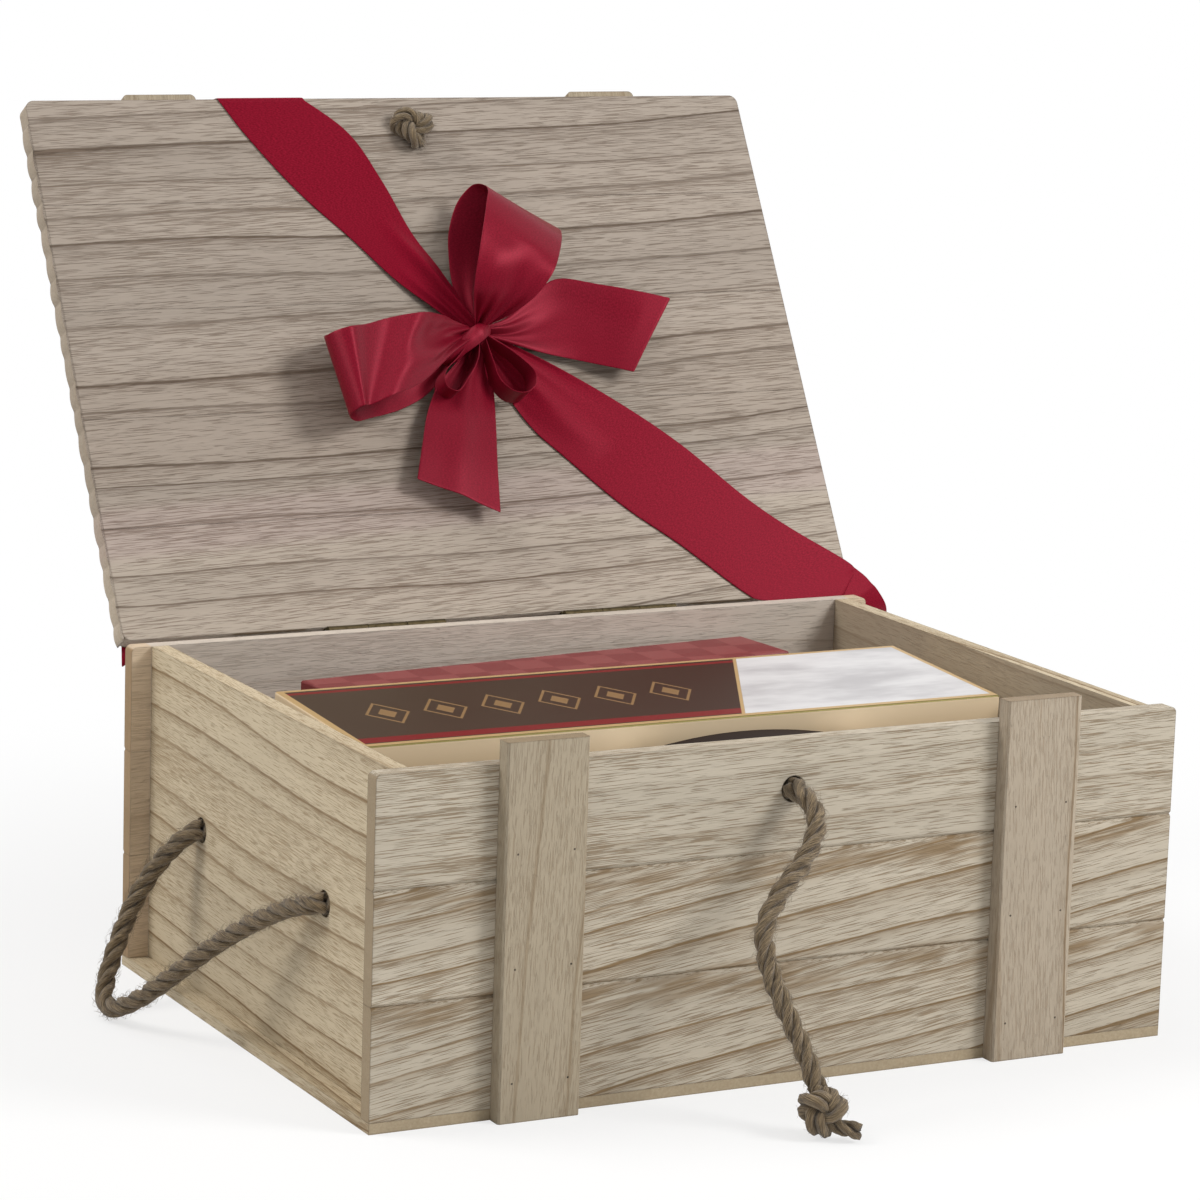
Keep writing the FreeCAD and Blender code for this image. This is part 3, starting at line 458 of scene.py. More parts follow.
def carton_red():
    """The carton at the back: deep red, with a faint check near its top."""
    g = material_graph("carton_red")
    place = g.add("TexCoord").outputs["Object"]
    check = g.add("TexChecker", {"Vector": place, "Scale": CHECK_SCALE}).outputs["Fac"]
    colour = g.mix(g.times(check, 0.55), rgb(112, 34, 38), rgb(138, 66, 66))
    colour = g.mix(g.span(g.dot(place, Z), CHECK_LOW, CHECK_HIGH), rgb(112, 30, 36), colour)
    return g.finish({"Base Color": colour, "Roughness": 0.4, "Specular IOR Level": 0.4})


def carton_white():
    """The carton in front: white, with a dark arch and a pale line inside each of its edges."""
    g = material_graph("carton_white")
    place = g.add("TexCoord").outputs["Object"]
    off = g.apart(g.dot(place, X), ARCH_MIDDLE)
    dark = g.span(off, ARCH_HALF + PRINT_SOFT, ARCH_HALF - PRINT_SOFT)
    colour = g.mix(dark, rgb(226, 226, 228), rgb(29, 17, 14))
    colour = g.mix(g.within(off, *ARCH_LINE, PRINT_SOFT), colour, rgb(216, 208, 190))
    return g.finish({"Base Color": colour, "Roughness": 0.6, "Specular IOR Level": 0.12})


def card():
    """Brown card with faint flutes and flecks."""
    g = material_graph("brown_card")
    place = g.add("TexCoord").outputs["Object"]
    flute = g.calc("SINE", g.times(g.dot(place, X), 2100))
    colour = g.mix(g.span(g.noise(place, 900, 3), 0.4, 0.7), rgb(168, 138, 100), rgb(146, 117, 82))
    return g.finish({"Base Color": colour, "Roughness": 0.85, "Normal": g.bump(flute, 0.0001, 0.4)})


paint("top_carton", carton_gold())
paint("rear_carton", carton_red())
paint("front_carton", carton_white())
paint("card_riser", card())

# The lid's own directions as it stands: from the hinge edge up, and out of its inner face
hinge = next(j for j in frame["joints"] if j["name"] == "lid_hinge")
HINGE = Vector(hinge["pos_m"])
OPEN_ANGLE = -math.radians(hinge["range_deg"][0])
LID_UP = Vector((0, -math.cos(OPEN_ANGLE), math.sin(OPEN_ANGLE)))
LID_OUT = Vector((0, -math.sin(OPEN_ANGLE), -math.cos(OPEN_ANGLE)))
HINGE_TO_EDGE = Vector((0, -2.05, 1.5)) * MM
LID_EDGE = HINGE + Matrix.Rotation(-OPEN_ANGLE, 3, "X") @ HINGE_TO_EDGE
LID_THK, LID_PLANKS = 9, 5


def on_lid(x, r, n):
    """A point from millimetres: right of the middle, up from the hinge edge, out of the inner face."""
    return LID_EDGE + (X * x + LID_UP * r + LID_OUT * n) * MM


LID_TILT = 2.4
LID_ZONES = (
    # from and to, up from the hinge edge, and a tint
    (-20, 44, (1.20, 1.21, 1.20, 1)), (44, 66, (1.13, 1.09, 1.14, 1)), (78, 128, (0.95, 0.94, 0.93, 1)),
)
lid_base = LID_EDGE.dot(LID_UP * math.cos(math.radians(LID_TILT)))
lid_zones = [(lid_base + low * MM, lid_base + high * MM, tint) for low, high, tint in LID_ZONES]
lid_wood = wood("lid_wood", "lid", X, LID_UP, LID_TILT, seed=2.9, zones=lid_zones)
for number in range(LID_PLANKS):
    paint(f"lid_plank_{number + 1}", lid_wood)
for number, side in enumerate(("left", "right")):
    paint_wood(f"lid_batten_{side}", "batten", LID_UP, X, tilt=2.0, seed=41 + 6 * number)

steel = metal("nail_steel", rgb(96, 88, 78), 0.5)
# The hinges' brass is darkened to the dark line they show in the gap: painted shade
gap_shaded_brass = metal("hinge_brass_painted_shade", rgb(82, 72, 52), 0.5)
for name in nodes:
    if name.startswith("hinge_"):
        paint(name, gap_shaded_brass)
rope_material = jute()
# One satin in two copies: the bow's colour is darker than the band's, painted shade
band_satin = satin("band_satin", depth=1.03, rough=0.45, shine=0.3)
painted_shade_bow_satin = satin("painted_shade_bow_satin", depth=0.86, rough=0.42, shine=0.6)


# Meshes
def new_object(name, points, faces, material, uv=None, groove_shade=None):
    """An object from points and faces, with per-point surface coordinates."""
    mesh = bpy.data.meshes.new(name)
    mesh.from_pydata([tuple(p) for p in points], [], faces)
    mesh.materials.append(material)
    mesh.polygons.foreach_set("use_smooth", [True] * len(mesh.polygons))
    if uv is not None:
        corner_points = np.zeros(len(mesh.loops), int)
        mesh.loops.foreach_get("vertex_index", corner_points)
        layer = mesh.uv_layers.new(name="lay")
        layer.data.foreach_set("uv", np.asarray(uv, float)[corner_points].ravel())
    # A share of painted shade for each point
    if groove_shade is not None:
        attribute = mesh.attributes.new("groove_shade", "FLOAT", "POINT")
        attribute.data.foreach_set("value", np.asarray(groove_shade, float))
    mesh.update()
    piece = bpy.data.objects.new(name, mesh)
    scene.collection.objects.link(piece)
    return piece


def tube_faces(first, rings, sides):
    """The faces between closed rings of points that follow each other."""
    faces = []
    for k in range(rings - 1):
        here, there = first + k * sides, first + (k + 1) * sides
        for j in range(sides):
            following = (j + 1) % sides
            faces.append((here + j, here + following, there + following, there + j))
    return faces


NAIL_RADIUS, NAIL_SIDES = 0.45 * MM, 12
# Share of the radius, and rise out of the wood
NAIL_RINGS = ((1.0, -0.5 * MM), (1.0, 0.0), (0.75, 0.1 * MM))
SOLID_HEAD_WIDTH, SOLID_HEAD_HEIGHT = 2.6 * MM, 0.4 * MM


def nail_heads(node, outward, body):
    """Small round heads in place of a node of nails, one where each of its nails shows."""
    points = np.array([v.co for v in nodes[node].data.vertices])
    heights = points @ np.array(outward)
    across = outward.cross(X).normalized()
    crowns = []
    for point in points[heights > heights.max() - SOLID_HEAD_HEIGHT / 2]:
        near = [c for c in crowns if np.linalg.norm(c[0] - point) < 1.5 * SOLID_HEAD_WIDTH]
        if near:
            near[0].append(point)
        else:
            crowns.append([point])
    vertices, faces = [], []
    for crown in crowns:
        middle = Vector((np.min(crown, axis=0) + np.max(crown, axis=0)) / 2) - outward * SOLID_HEAD_HEIGHT
        first = len(vertices)
        for reach, rise in NAIL_RINGS:
            for k in range(NAIL_SIDES):
                a = 2 * math.pi * k / NAIL_SIDES
                spoke = (X * math.cos(a) + across * math.sin(a)) * NAIL_RADIUS * reach
                vertices.append(middle + spoke + outward * rise)
        faces += tube_faces(first, len(NAIL_RINGS), NAIL_SIDES)
        faces.append(tuple(range(len(vertices) - NAIL_SIDES, len(vertices))))
    heads = new_object(node + "_heads", vertices, faces, steel)
    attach(heads, body)
    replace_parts(heads, node)


SPLINE_STEPS = 16


def spline_points(route):
    """Points of the smooth line that has the route as its control points."""
    curve = bpy.data.curves.new("line", "CURVE")
    curve.dimensions = "3D"
    spline = curve.splines.new("NURBS")
    spline.points.add(len(route) - 1)
    for point, place in zip(spline.points, route):
        point.co = (*place, 1)
    spline.order_u = 3
    spline.use_endpoint_u = True
    spline.resolution_u = SPLINE_STEPS
    holder = bpy.data.objects.new("line", curve)
    scene.collection.objects.link(holder)
    mesh = bpy.data.meshes.new_from_object(holder)
    points = np.array([v.co for v in mesh.vertices])
    bpy.data.objects.remove(holder)
    bpy.data.curves.remove(curve)
    bpy.data.meshes.remove(mesh)
    return points


def distances(points):
    """How far along its line each point lies."""
    return np.concatenate(([0], np.cumsum(np.linalg.norm(np.diff(points, axis=0), axis=1))))


def evenly(points, step):
    """The same line with points at an even step."""
    travel = distances(points)
    count = max(4, int(round(travel[-1] / step)))
    wanted = np.linspace(0, travel[-1], count + 1)
    return np.stack([np.interp(wanted, travel, points[:, k]) for k in range(3)], axis=1), wanted


def carried_frames(points):
    """Tangent, and two directions across the line that are carried along it without twist."""
    tangent = np.gradient(points, axis=0)
    tangent /= np.linalg.norm(tangent, axis=1)[:, None]
    helper = np.array((0.31, 0.27, 0.91))
    normal = np.cross(tangent[0], helper)
    normals = []
    for t in tangent:
        normal = normal - t * (normal @ t)
        normal = normal / np.linalg.norm(normal)
        normals.append(normal)
    normals = np.array(normals)
    return tangent, normals, np.cross(tangent, normals)


STRANDS, STRAND_SIDES, YARNS = 3, 16, 5
LAY_PER_RADIUS, YARN_TWIST, YARN_DEPTH, STRAND_WAVE, WAVE_RATE = 7.0, -1.15, 0.085, 0.05, 900
ROPE_STEP, SWELL_REACH, KNOT_POINTS = 0.0008, 0.006, 160
FLARE_FROM, FLARE_POWER = 0.35, 1.5
# How the depth between strands turns into painted shade
GROOVE_SHADE_GAIN, GROOVE_SHADE_FROM = 2.4, 0.35


def rope(name, line, radius, whole_turns=False, flare=0.0, swell=(0.0, 0.0)):
    """A laid rope of three strands along a line.

    flare opens its strands at the far end, and swell thickens its first and last few millimetres.
    """
    points, travel = evenly(np.asarray(line), ROPE_STEP)
    _, normal, other = carried_frames(points)
    length = travel[-1]
    turns = length / (LAY_PER_RADIUS * radius)
    if whole_turns:
        turns = max(1, round(turns))
    angle = 2 * math.pi * turns * travel / length
    flared = np.clip((travel / length - FLARE_FROM) / (1 - FLARE_FROM), 0, 1)
    opening = 1 + flare * flared ** FLARE_POWER
    girth = radius * (1 + swell[0] * np.exp(-(travel / SWELL_REACH) ** 2)
                      + swell[1] * np.exp(-((length - travel) / SWELL_REACH) ** 2))
    vertices, faces, uv, groove_shade = [], [], [], []
    round_angles = np.linspace(0, 2 * math.pi, STRAND_SIDES, endpoint=False)
    for strand in range(STRANDS):
        a = angle + strand * 2 * math.pi / STRANDS
        offset = normal * np.cos(a)[:, None] + other * np.sin(a)[:, None]
        centre = points + offset * (0.5 * girth * opening)[:, None]
        _, strand_n, strand_b = carried_frames(centre)
        first = len(vertices)
        for k in range(len(centre)):
            twist = YARN_TWIST * angle[k]
            ridge = 1 + YARN_DEPTH * np.cos(YARNS * (round_angles + twist))
            wave = 1 + STRAND_WAVE * math.sin(travel[k] * WAVE_RATE + strand * 2)
            reach = 0.5 * girth[k] * ridge * wave
            ring = centre[k] + reach[:, None] * (np.cos(round_angles)[:, None] * strand_n[k]
                                                 + np.sin(round_angles)[:, None] * strand_b[k])
            vertices.extend(ring)
            # How deep a point lies between the strands, for the painted shade there
            depth = 1 - np.linalg.norm(ring - points[k], axis=1) / (girth[k] * opening[k])
            groove_shade.extend(np.clip(depth * GROOVE_SHADE_GAIN - GROOVE_SHADE_FROM, 0, 1))
            uv.extend((travel[k], j / STRAND_SIDES + twist / (2 * math.pi)) for j in range(STRAND_SIDES))
        faces += tube_faces(first, len(centre), STRAND_SIDES)
        faces.append(tuple(reversed(range(first, first + STRAND_SIDES))))
        faces.append(tuple(range(len(vertices) - STRAND_SIDES, len(vertices))))
    return new_object(name, vertices, faces, rope_material, uv, groove_shade)


HAIRS_PER_METRE = 6000
HAIR_LONG, HAIR_THICK, HAIR_FLOOR = (0.0010, 0.0032), (0.00005, 0.00010), 0.0003
HAIR_RINGS, HAIR_SIDES = (0, 0.4, 0.75), 3
HAIR_ROOT, HAIR_LEAN, HAIR_SWAY, HAIR_DROOP = 0.9, (0.6, 1.6), (-0.6, 0.6), 0.35


def fuzz(name, line, radius, per_metre=HAIRS_PER_METRE):
    """Loose fibres that stand off a rope, each a thin tapered three-sided hair."""
    points, travel = evenly(np.asarray(line), ROPE_STEP)
    tangent, normal, other = carried_frames(points)
    vertices, faces, uv = [], [], []
    for _ in range(int(per_metre * travel[-1])):
        k = dice.randrange(len(points))
        a = dice.uniform(0, 2 * math.pi)
        out = normal[k] * math.cos(a) + other[k] * math.sin(a)
        sway = normal[k] * -math.sin(a) + other[k] * math.cos(a)
        lean = tangent[k] * dice.choice((-1, 1)) * dice.uniform(*HAIR_LEAN) + sway * dice.uniform(*HAIR_SWAY)
        long, thick = dice.uniform(*HAIR_LONG), dice.uniform(*HAIR_THICK)
        base = points[k] + out * radius * HAIR_ROOT
        first = len(vertices)
        for share in HAIR_RINGS:
            middle = base + out * long * share * (1 - HAIR_DROOP * share)
            middle = middle + lean * long * share * (0.5 + 0.5 * share)
            for corner in range(HAIR_SIDES):
                b = corner * 2 * math.pi / HAIR_SIDES
                spoke = (out * math.cos(b) + sway * math.sin(b)) * thick * (1 - 0.5 * share)
                vertices.append(middle + spoke)
                uv.append((travel[k] + share, corner / HAIR_SIDES))
        faces += tube_faces(first, len(HAIR_RINGS), HAIR_SIDES)
        tip = len(vertices)
        ring = range(tip - HAIR_SIDES, tip)
        vertices.append(base + out * long * (1 - HAIR_DROOP) + lean * long)
        uv.append((travel[k] + 1, 0))
        faces += [(here, there, tip) for here, there in zip(ring, (*ring[1:], ring[0]))]
        faces.append(tuple(reversed(range(first, first + HAIR_SIDES))))
    vertices = [(x, y, max(z, HAIR_FLOOR)) for x, y, z in vertices]
    return new_object(name, vertices, faces, rope_material, uv, [0.0] * len(vertices))


def knot(name, centre, right, up, out, reach, depth, radius):
    """An overhand knot drawn tight, facing out, and its closed line."""
    t = np.linspace(0, 2 * math.pi, KNOT_POINTS)
    a = reach * (np.sin(t) + 2 * np.sin(2 * t)) / 3
    b = reach * (np.cos(t) - 2 * np.cos(2 * t)) / 3
    c = depth * np.sin(3 * t)
    line = np.array(centre) + np.outer(a, right) + np.outer(b, up) + np.outer(c, out)
    return rope(name, line, radius, whole_turns=True), line


# The lid's worn left end in millimetres: heights of the notches, and a lobe's section from inside to outside
LID_HALF, SUNK = 179, 0.4
NOTCHES = (0, 9, 21, 35, 45, 59, 70, 83, 97, 108, 119, 133, 143, 157, 168, 180, 193, 204, 217, 229, 241)
LOBE_LEAST, LOBE_RISE, LOBE_STEPS = 0.1, 1.5, 8
END_PROFILE = ((-0.15, 0.35), (-1.0, 0.9), (-2.4, 1.0), (-6.6, 1.0), (-8.0, 0.9), (-8.85, 0.35))


def worn_end():
    """The lid's left end, worn to soft lobes between the hard lines of the grain."""
    outline = []
    for low, high in zip(NOTCHES, NOTCHES[1:]):
        rise = LOBE_RISE * dice.uniform(0.6, 1.0)
        for step in range(LOBE_STEPS):
            share = step / LOBE_STEPS
            swell = math.sin(math.pi * share ** 0.8) ** 0.7
            outline.append((low + (high - low) * share, LOBE_LEAST + rise * swell))
    outline.append((NOTCHES[-1], LOBE_LEAST))
    columns = len(END_PROFILE) + 2
    vertices = []
    for r, rise in outline:
        vertices.append(on_lid(SUNK - LID_HALF, r, END_PROFILE[0][0]))
        vertices += [on_lid(-LID_HALF - rise * share, r, n) for n, share in END_PROFILE]
        vertices.append(on_lid(SUNK - LID_HALF, r, END_PROFILE[-1][0]))
    faces = tube_faces(0, len(outline), columns)
    faces.append(tuple(reversed(range(columns))))
    faces.append(tuple(range(len(vertices) - columns, len(vertices))))
    piece = new_object("lid_worn_end", vertices, faces, lid_wood)
    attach(piece, "lid")


worn_end()
nail_heads("front_nails", -Y, "box")
nail_heads("back_nails", Y, "box")
nail_heads("lid_nails", -LID_OUT, "lid")

# Ropes: routes in millimetres, as in the solids
ROPE_RADIUS, LOOP_RADIUS = 4 * MM, 2.6 * MM
HANDLE_HEIGHT, HANDLE_SPAN, CLOSURE_HEIGHT = 73.5, 63, 120
# Reach, depth and rope radius of a knot
END_KNOT = 6.3 * MM, 3.8 * MM, 4.3 * MM
STOPPER_KNOT, STOPPER_SEAT = (4.9 * MM, 3.0 * MM, 3.3 * MM), 6.3 * MM
LID_KNOT, LID_KNOT_RISE = (7.6 * MM, 2.8 * MM, 3.4 * MM), 4.2
TAIL_RADIUS, KNOT_FUZZ_RADIUS, KNOT_HAIRS, LID_KNOT_HAIRS = 3.2 * MM, 3.7 * MM, 3500, 4200
# Places of the rope in a hole, as shares of the panel from its inside, and how much thicker it is there
HOLE_PLACES, HOLE_SWELL = (1, 0.6, 0.2, -0.3), 1.2

CLOSURE_ROUTE = (
    # right of the middle, in front of the front face, height
    (0, 0, 120), (0, 10, 120), (0.5, 20.5, 111.5), (-9, 27.5, 99), (-23, 32.5, 88.5), (-33, 37, 76.5),
    (-33.5, 42.5, 62.5), (-28.5, 49.5, 46), (-23, 57, 30), (-21, 63, 18.2),
)
closure_line = spline_points([Vector((x, FRONT - out, z)) * MM for x, out, z in CLOSURE_ROUTE])
closure = rope("closure_twisted_rope", closure_line, ROPE_RADIUS, swell=(0.24, 0.0))
closure_fuzz = fuzz("closure_rope_fuzz", closure_line, ROPE_RADIUS)

KNOT_MIDDLE = Vector((-21, -195, 10.7)) * MM
end_knot, end_line = knot("closure_end_knot", KNOT_MIDDLE, cam_right, cam_up, back, *END_KNOT)
run_line = [closure_line[-2], closure_line[-1], KNOT_MIDDLE + Z * 3 * MM, KNOT_MIDDLE]
knot_run = rope("closure_knot_run", run_line, ROPE_RADIUS)
TAIL_ROUTE = ((-20, -197, 8), (-17, -201, 5.6), (-13, -203.5, 4.8), (-10, -205, 4.6))
tail_line = spline_points([Vector(p) * MM for p in TAIL_ROUTE])
knot_tail = rope("closure_knot_tail", tail_line, TAIL_RADIUS, flare=0.35)
knot_fuzz = fuzz("closure_knot_fuzz", end_line, KNOT_FUZZ_RADIUS, KNOT_HAIRS)
for piece in (closure, closure_fuzz, end_knot, knot_run, knot_tail, knot_fuzz):
    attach(piece, "box")
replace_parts(closure, "closure_rope")
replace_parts(end_knot, "closure_knot")


def stopper(name, inner_face, inward, across):
    """The knot inside a panel, and the rope through its hole."""
    tied, _ = knot(name, inner_face + inward * STOPPER_SEAT, across, Z, inward, *STOPPER_KNOT)
    hole_line = [inner_face - inward * (PANEL_THK * MM) * share for share in HOLE_PLACES]
    run = rope(name + "_run", hole_line, ROPE_RADIUS * HOLE_SWELL)
    for piece in (tied, run):
        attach(piece, "box")
    return tied


front_inner = Vector((0, FRONT + PANEL_THK, CLOSURE_HEIGHT)) * MM
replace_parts(stopper("closure_stopper_knot", front_inner, Y, X), "closure_stopper")

HANDLE_ROUTES = {
    # out from the side panel, behind the middle, height
    "left": ((0, -63, 73.5), (4.3, -62, 73.5), (8, -46, 68.5), (14, -26, 58), (21, -6, 45),
             (29.5, 10, 31), (37.5, 27, 16.5), (43.5, 43, 6.8), (45, 55, 4.6), (41.5, 64.5, 11),
             (34, 72, 24), (24, 77.5, 42), (14, 75, 58.5), (4.3, 64, 73.5), (0, 63, 73.5)),
    "right": ((0, -63, 73.5), (4.3, -63, 72), (4.5, -65, 51), (4.3, -61, 27), (4.3, -44, 11.5),
              (4.3, -15, 8.9), (4.3, 16, 9.1), (4.3, 45, 12), (4.3, 62, 28), (4.5, 65, 51),
              (4.3, 63, 72), (0, 63, 73.5)),
}
for side, sign in (("left", -1), ("right", 1)):
    body = f"{side}_handle"
    route = [Vector((sign * (SIDE_FACE + out), y, z)) * MM for out, y, z in HANDLE_ROUTES[side]]
    line = spline_points(route)
    handle = rope(f"{body}_twisted_rope", line, ROPE_RADIUS, swell=(0.12, 0.12))
    hairs = fuzz(f"{body}_fuzz", line, ROPE_RADIUS)
    for piece in (handle, hairs):
        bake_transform(piece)
    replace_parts(handle, body)
    for end, y in (("front", -HANDLE_SPAN), ("back", HANDLE_SPAN)):
        inner = Vector((sign * SIDE_INNER, y, HANDLE_HEIGHT)) * MM
        tied = stopper(f"{side}_stopper_knot_{end}", inner, X * -sign, Y)
        if end == "front":
            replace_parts(tied, f"{side}_handle_stoppers")

HOLE_X, HOLE_R = 4, 235.5
LOOP_ROUTE = (
    # right of the hole, behind it, above the lid's outside
    (-3, 0, 0), (-3, 0, 5), (-3.6, 3.5, 9), (-6, 12, 8), (-8.5, 23, 4.5), (-7, 34, 3.2), (0, 41, 3.1),
    (7, 34, 3.2), (8.5, 23, 4.5), (6, 12, 8), (3.6, 3.5, 9), (3, 0, 5), (3, 0, 0),
)
loop_line = spline_points([on_lid(HOLE_X + x, HOLE_R - y, -LID_THK - z) for x, y, z in LOOP_ROUTE])
lid_loop = rope("lid_loop_rope", loop_line, LOOP_RADIUS)
loop_fuzz = fuzz("lid_loop_fuzz", loop_line, LOOP_RADIUS)
lid_knot, lid_knot_line = knot("lid_knot_rope", on_lid(HOLE_X, HOLE_R, LID_KNOT_RISE), X, LID_UP, LID_OUT,
                               *LID_KNOT)
lid_run = rope("lid_hole_rope", [on_lid(HOLE_X, HOLE_R, n) for n in (3, -3, -6, -LID_THK)], ROPE_RADIUS)
knot_hairs = fuzz("lid_knot_fuzz", lid_knot_line, LID_KNOT[2], LID_KNOT_HAIRS)
for piece in (lid_loop, loop_fuzz, lid_knot, lid_run, knot_hairs):
    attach(piece, "lid")
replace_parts(lid_loop, "lid_rope_loop")
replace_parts(lid_knot, "lid_knot")


# Ribbon
RIBBON_THK, RIBBON_WIDTH, CURL_WIDTH, TIE_WIDTH = 0.4 * MM, 40 * MM, 12 * MM, 10 * MM
ACROSS = 24
# Waves of the pleats across the ribbon: height, half turns and where they start
PLEAT_WAVES = ((0.7, 3, 0.6), (0.4, 7, 2))


def through(values, count):
    """A smooth curve through stations, sampled evenly along its length."""
    values = np.asarray(values, float)
    travel = distances(values)
    slopes = np.gradient(values, travel, axis=0)
    wanted = np.linspace(0, travel[-1], count)
    k = np.minimum(np.searchsorted(travel, wanted, side="right") - 1, len(travel) - 2)
    step = (travel[k + 1] - travel[k])[:, None]
    t = (wanted - travel[k])[:, None] / step
    h00, h10 = 2 * t ** 3 - 3 * t ** 2 + 1, t ** 3 - 2 * t ** 2 + t
    h01, h11 = 3 * t ** 2 - 2 * t ** 3, t ** 3 - t ** 2
    return h00 * values[k] + h10 * step * slopes[k] + h01 * values[k + 1] + h11 * step * slopes[k + 1]


def ribbon(name, stations, count, pleats=None, crown=0.0, replaced=(),
           flatten=True, width=RIBBON_WIDTH, creases=(), material=painted_shade_bow_satin):
    """A ribbon through stations of two edge points on the lid, in mm.

    pleats gives the height of its folds, crown how far its middle stands above its edges; creases are soft
    lengthwise folds: height, place and half width across, first and last share of the length.
    """
    edges = through([(*low, *high) for low, high in stations], count)
    middle = (edges[:, :3] + edges[:, 3:]) / 2
    travel = distances(middle)
    normals = np.cross(np.gradient(middle, axis=0), edges[:, 3:] - edges[:, :3])
    normals /= np.linalg.norm(normals, axis=1)[:, None]
    vertices, faces, uv = [], [], []
    for k, row in enumerate(edges):
        fold = pleats(k / (count - 1)) if pleats else 0.0
        for j in range(ACROSS + 1):
            s = j / ACROSS
            wave = sum(size * math.cos(turns * math.pi * s + first) for size, turns, first in PLEAT_WAVES)
            lift = fold * wave + crown * (1 - (2 * s - 1) ** 2)
            for rise, middle_share, half, start, stop in creases:
                along = (k / (count - 1) - start) / (stop - start)
                if 0 < along < 1:
                    lift += rise * math.sin(math.pi * along) * math.exp(-((s - middle_share) / half) ** 2)
            vertices.append(on_lid(*(row[:3] + (row[3:] - row[:3]) * s + normals[k] * lift)))
            uv.append((travel[k] * MM, s * width))
    row_length = ACROSS + 1
    for k in range(count - 1):
        for j in range(ACROSS):
            a = k * row_length + j
            faces.append((a, a + 1, a + row_length + 1, a + row_length))
    piece = new_object(name, vertices, faces, material, uv)
    solid = piece.modifiers.new("thickness", "SOLIDIFY")
    solid.thickness, solid.offset = RIBBON_THK, 0
    smooth = piece.modifiers.new("smooth", "SUBSURF")
    smooth.levels = smooth.render_levels = 1
    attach(piece, "lid")
    if replaced:
        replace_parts(piece, *replaced)
    if flatten:
        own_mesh(piece)


def drawn_in(height, spread, *places):
    """Pleats that are highest at these shares of the ribbon's length, where it is tied."""
    return lambda share: height * sum(math.exp(-((share - place) / spread) ** 2) for place in places)


FLAT = 0.6
BAND = (
    # lower left edge, upper right edge: right of the middle, up from the hinge edge, out past FLAT
    ((-88, 252.2, 0), (-47, 252.2, 0)),
    ((-79.5, 236.8, 0), (-30, 238, 0)),
    ((-56.7, 204.4, 0), (-15.8, 211.1, 0.6)),
    ((-36.6, 182.4, 0), (-6, 183.2, 1.2)),
    ((-17.2, 158.9, 1.2), (2.3, 166.2, 3)),
    ((-4.2, 146.5, 2.5), (9.1, 151.2, 4)),
    ((7, 135, 3.5), (15, 139.5, 4.5)),
    ((12, 129, 3.5), (19, 133.5, 4)),
    ((17, 119, 2), (30, 127.5, 4)),
    ((25, 102, 0), (46, 118.5, 4)),
    ((34, 86.5, 0), (62, 108, 4)),
    ((46, 73.5, 0), (80, 95.2, 4)),
    ((70, 48.6, 0), (105, 75, 4)),
    ((96, 27.2, 0), (134, 47, 3)),
    ((124, 2, 0), (158, 29.5, 1)),
    ((131, -1.5, 0), (179.5, 15.5, 0)),
    ((172, -5, 0), (183, 9, 0)),
)
band = [((*low[:2], FLAT + low[2]), (*high[:2], FLAT + high[2])) for low, high in BAND]
ribbon("ribbon_band", band, 130, drawn_in(2.4, 0.07, 0.45), replaced=["ribbon_front_band"],
       creases=((3.6, 0.74, 0.13, 0.20, 0.46), (2.4, 0.28, 0.12, 0.27, 0.47), (2.2, 0.35, 0.14, 0.43, 0.62)),
       material=band_satin)

UPPER_LOOP = (
    ((12.1, 136.1, 3), (16.5, 135.5, 4)), ((8.3, 149.7, 3.5), (29, 146.4, 4)),
    ((8, 168.2, 4), (42.3, 162.9, 5)), ((10.1, 183.7, 7), (51.1, 171.8, 7)),
    ((15.5, 195.6, 11), (56.6, 174.9, 11)),
    ((20.9, 200.3, 17), (60, 177.1, 17)), ((23.6, 196.1, 25), (56.6, 171.2, 25)),
    ((18.9, 184.6, 30), (50.4, 160.3, 31)), ((11.7, 165.1, 30), (42.8, 148.4, 33)),
    ((7.7, 148.3, 24), (33.3, 139, 27)), ((9.5, 139, 15), (22.6, 134.2, 16)),
    ((11, 133.7, 10), (15.4, 133.1, 10)),
)
LEFT_LOOP = (
    ((12.3, 137.1, 3), (13, 131.2, 3)), ((0, 139.2, 3.5), (1, 120.7, 3.5)),
    ((-17.5, 139.6, 4), (-14.8, 105.6, 4)), ((-38.6, 136.6, 6), (-32.2, 96.9, 6)),
    ((-55.5, 133.5, 10), (-48.5, 92.2, 10)),
    ((-66.3, 129.5, 17), (-60.2, 88.5, 17)), ((-69, 126.8, 22.5), (-64.8, 88.8, 22.5)),
    ((-67.2, 127, 27), (-64.3, 89.2, 27)), ((-61, 127.6, 31.5), (-61.4, 90.2, 31)),
    ((-51, 129.8, 28), (-58.6, 90.8, 29.5)), ((-38.5, 133.4, 25.5), (-55.5, 91.4, 29.8)),
    ((-24, 134.6, 28), (-48, 93.6, 33)), ((-11, 135.8, 22), (-31, 100.5, 28)),
    ((-1, 135.4, 15.5), (-8.3, 117.5, 18)), ((7.7, 134.3, 10), (7.4, 128.5, 10)),
)
RIGHT_TAIL = (
    ((17.8, 136.5, 4), (17.5, 130.6, 4)), ((30.1, 140, 4), (32.1, 126.2, 4)),
    ((44.4, 149, 5), (46.4, 121.8, 4)), ((58.1, 157.2, 7), (60.4, 117.9, 5)),
    ((79.4, 153.2, 9), (71.4, 114.2, 7)),
    ((98.1, 148.3, 11), (80.1, 111.1, 9)), ((112.8, 144, 12), (86.3, 108.9, 10)),
)
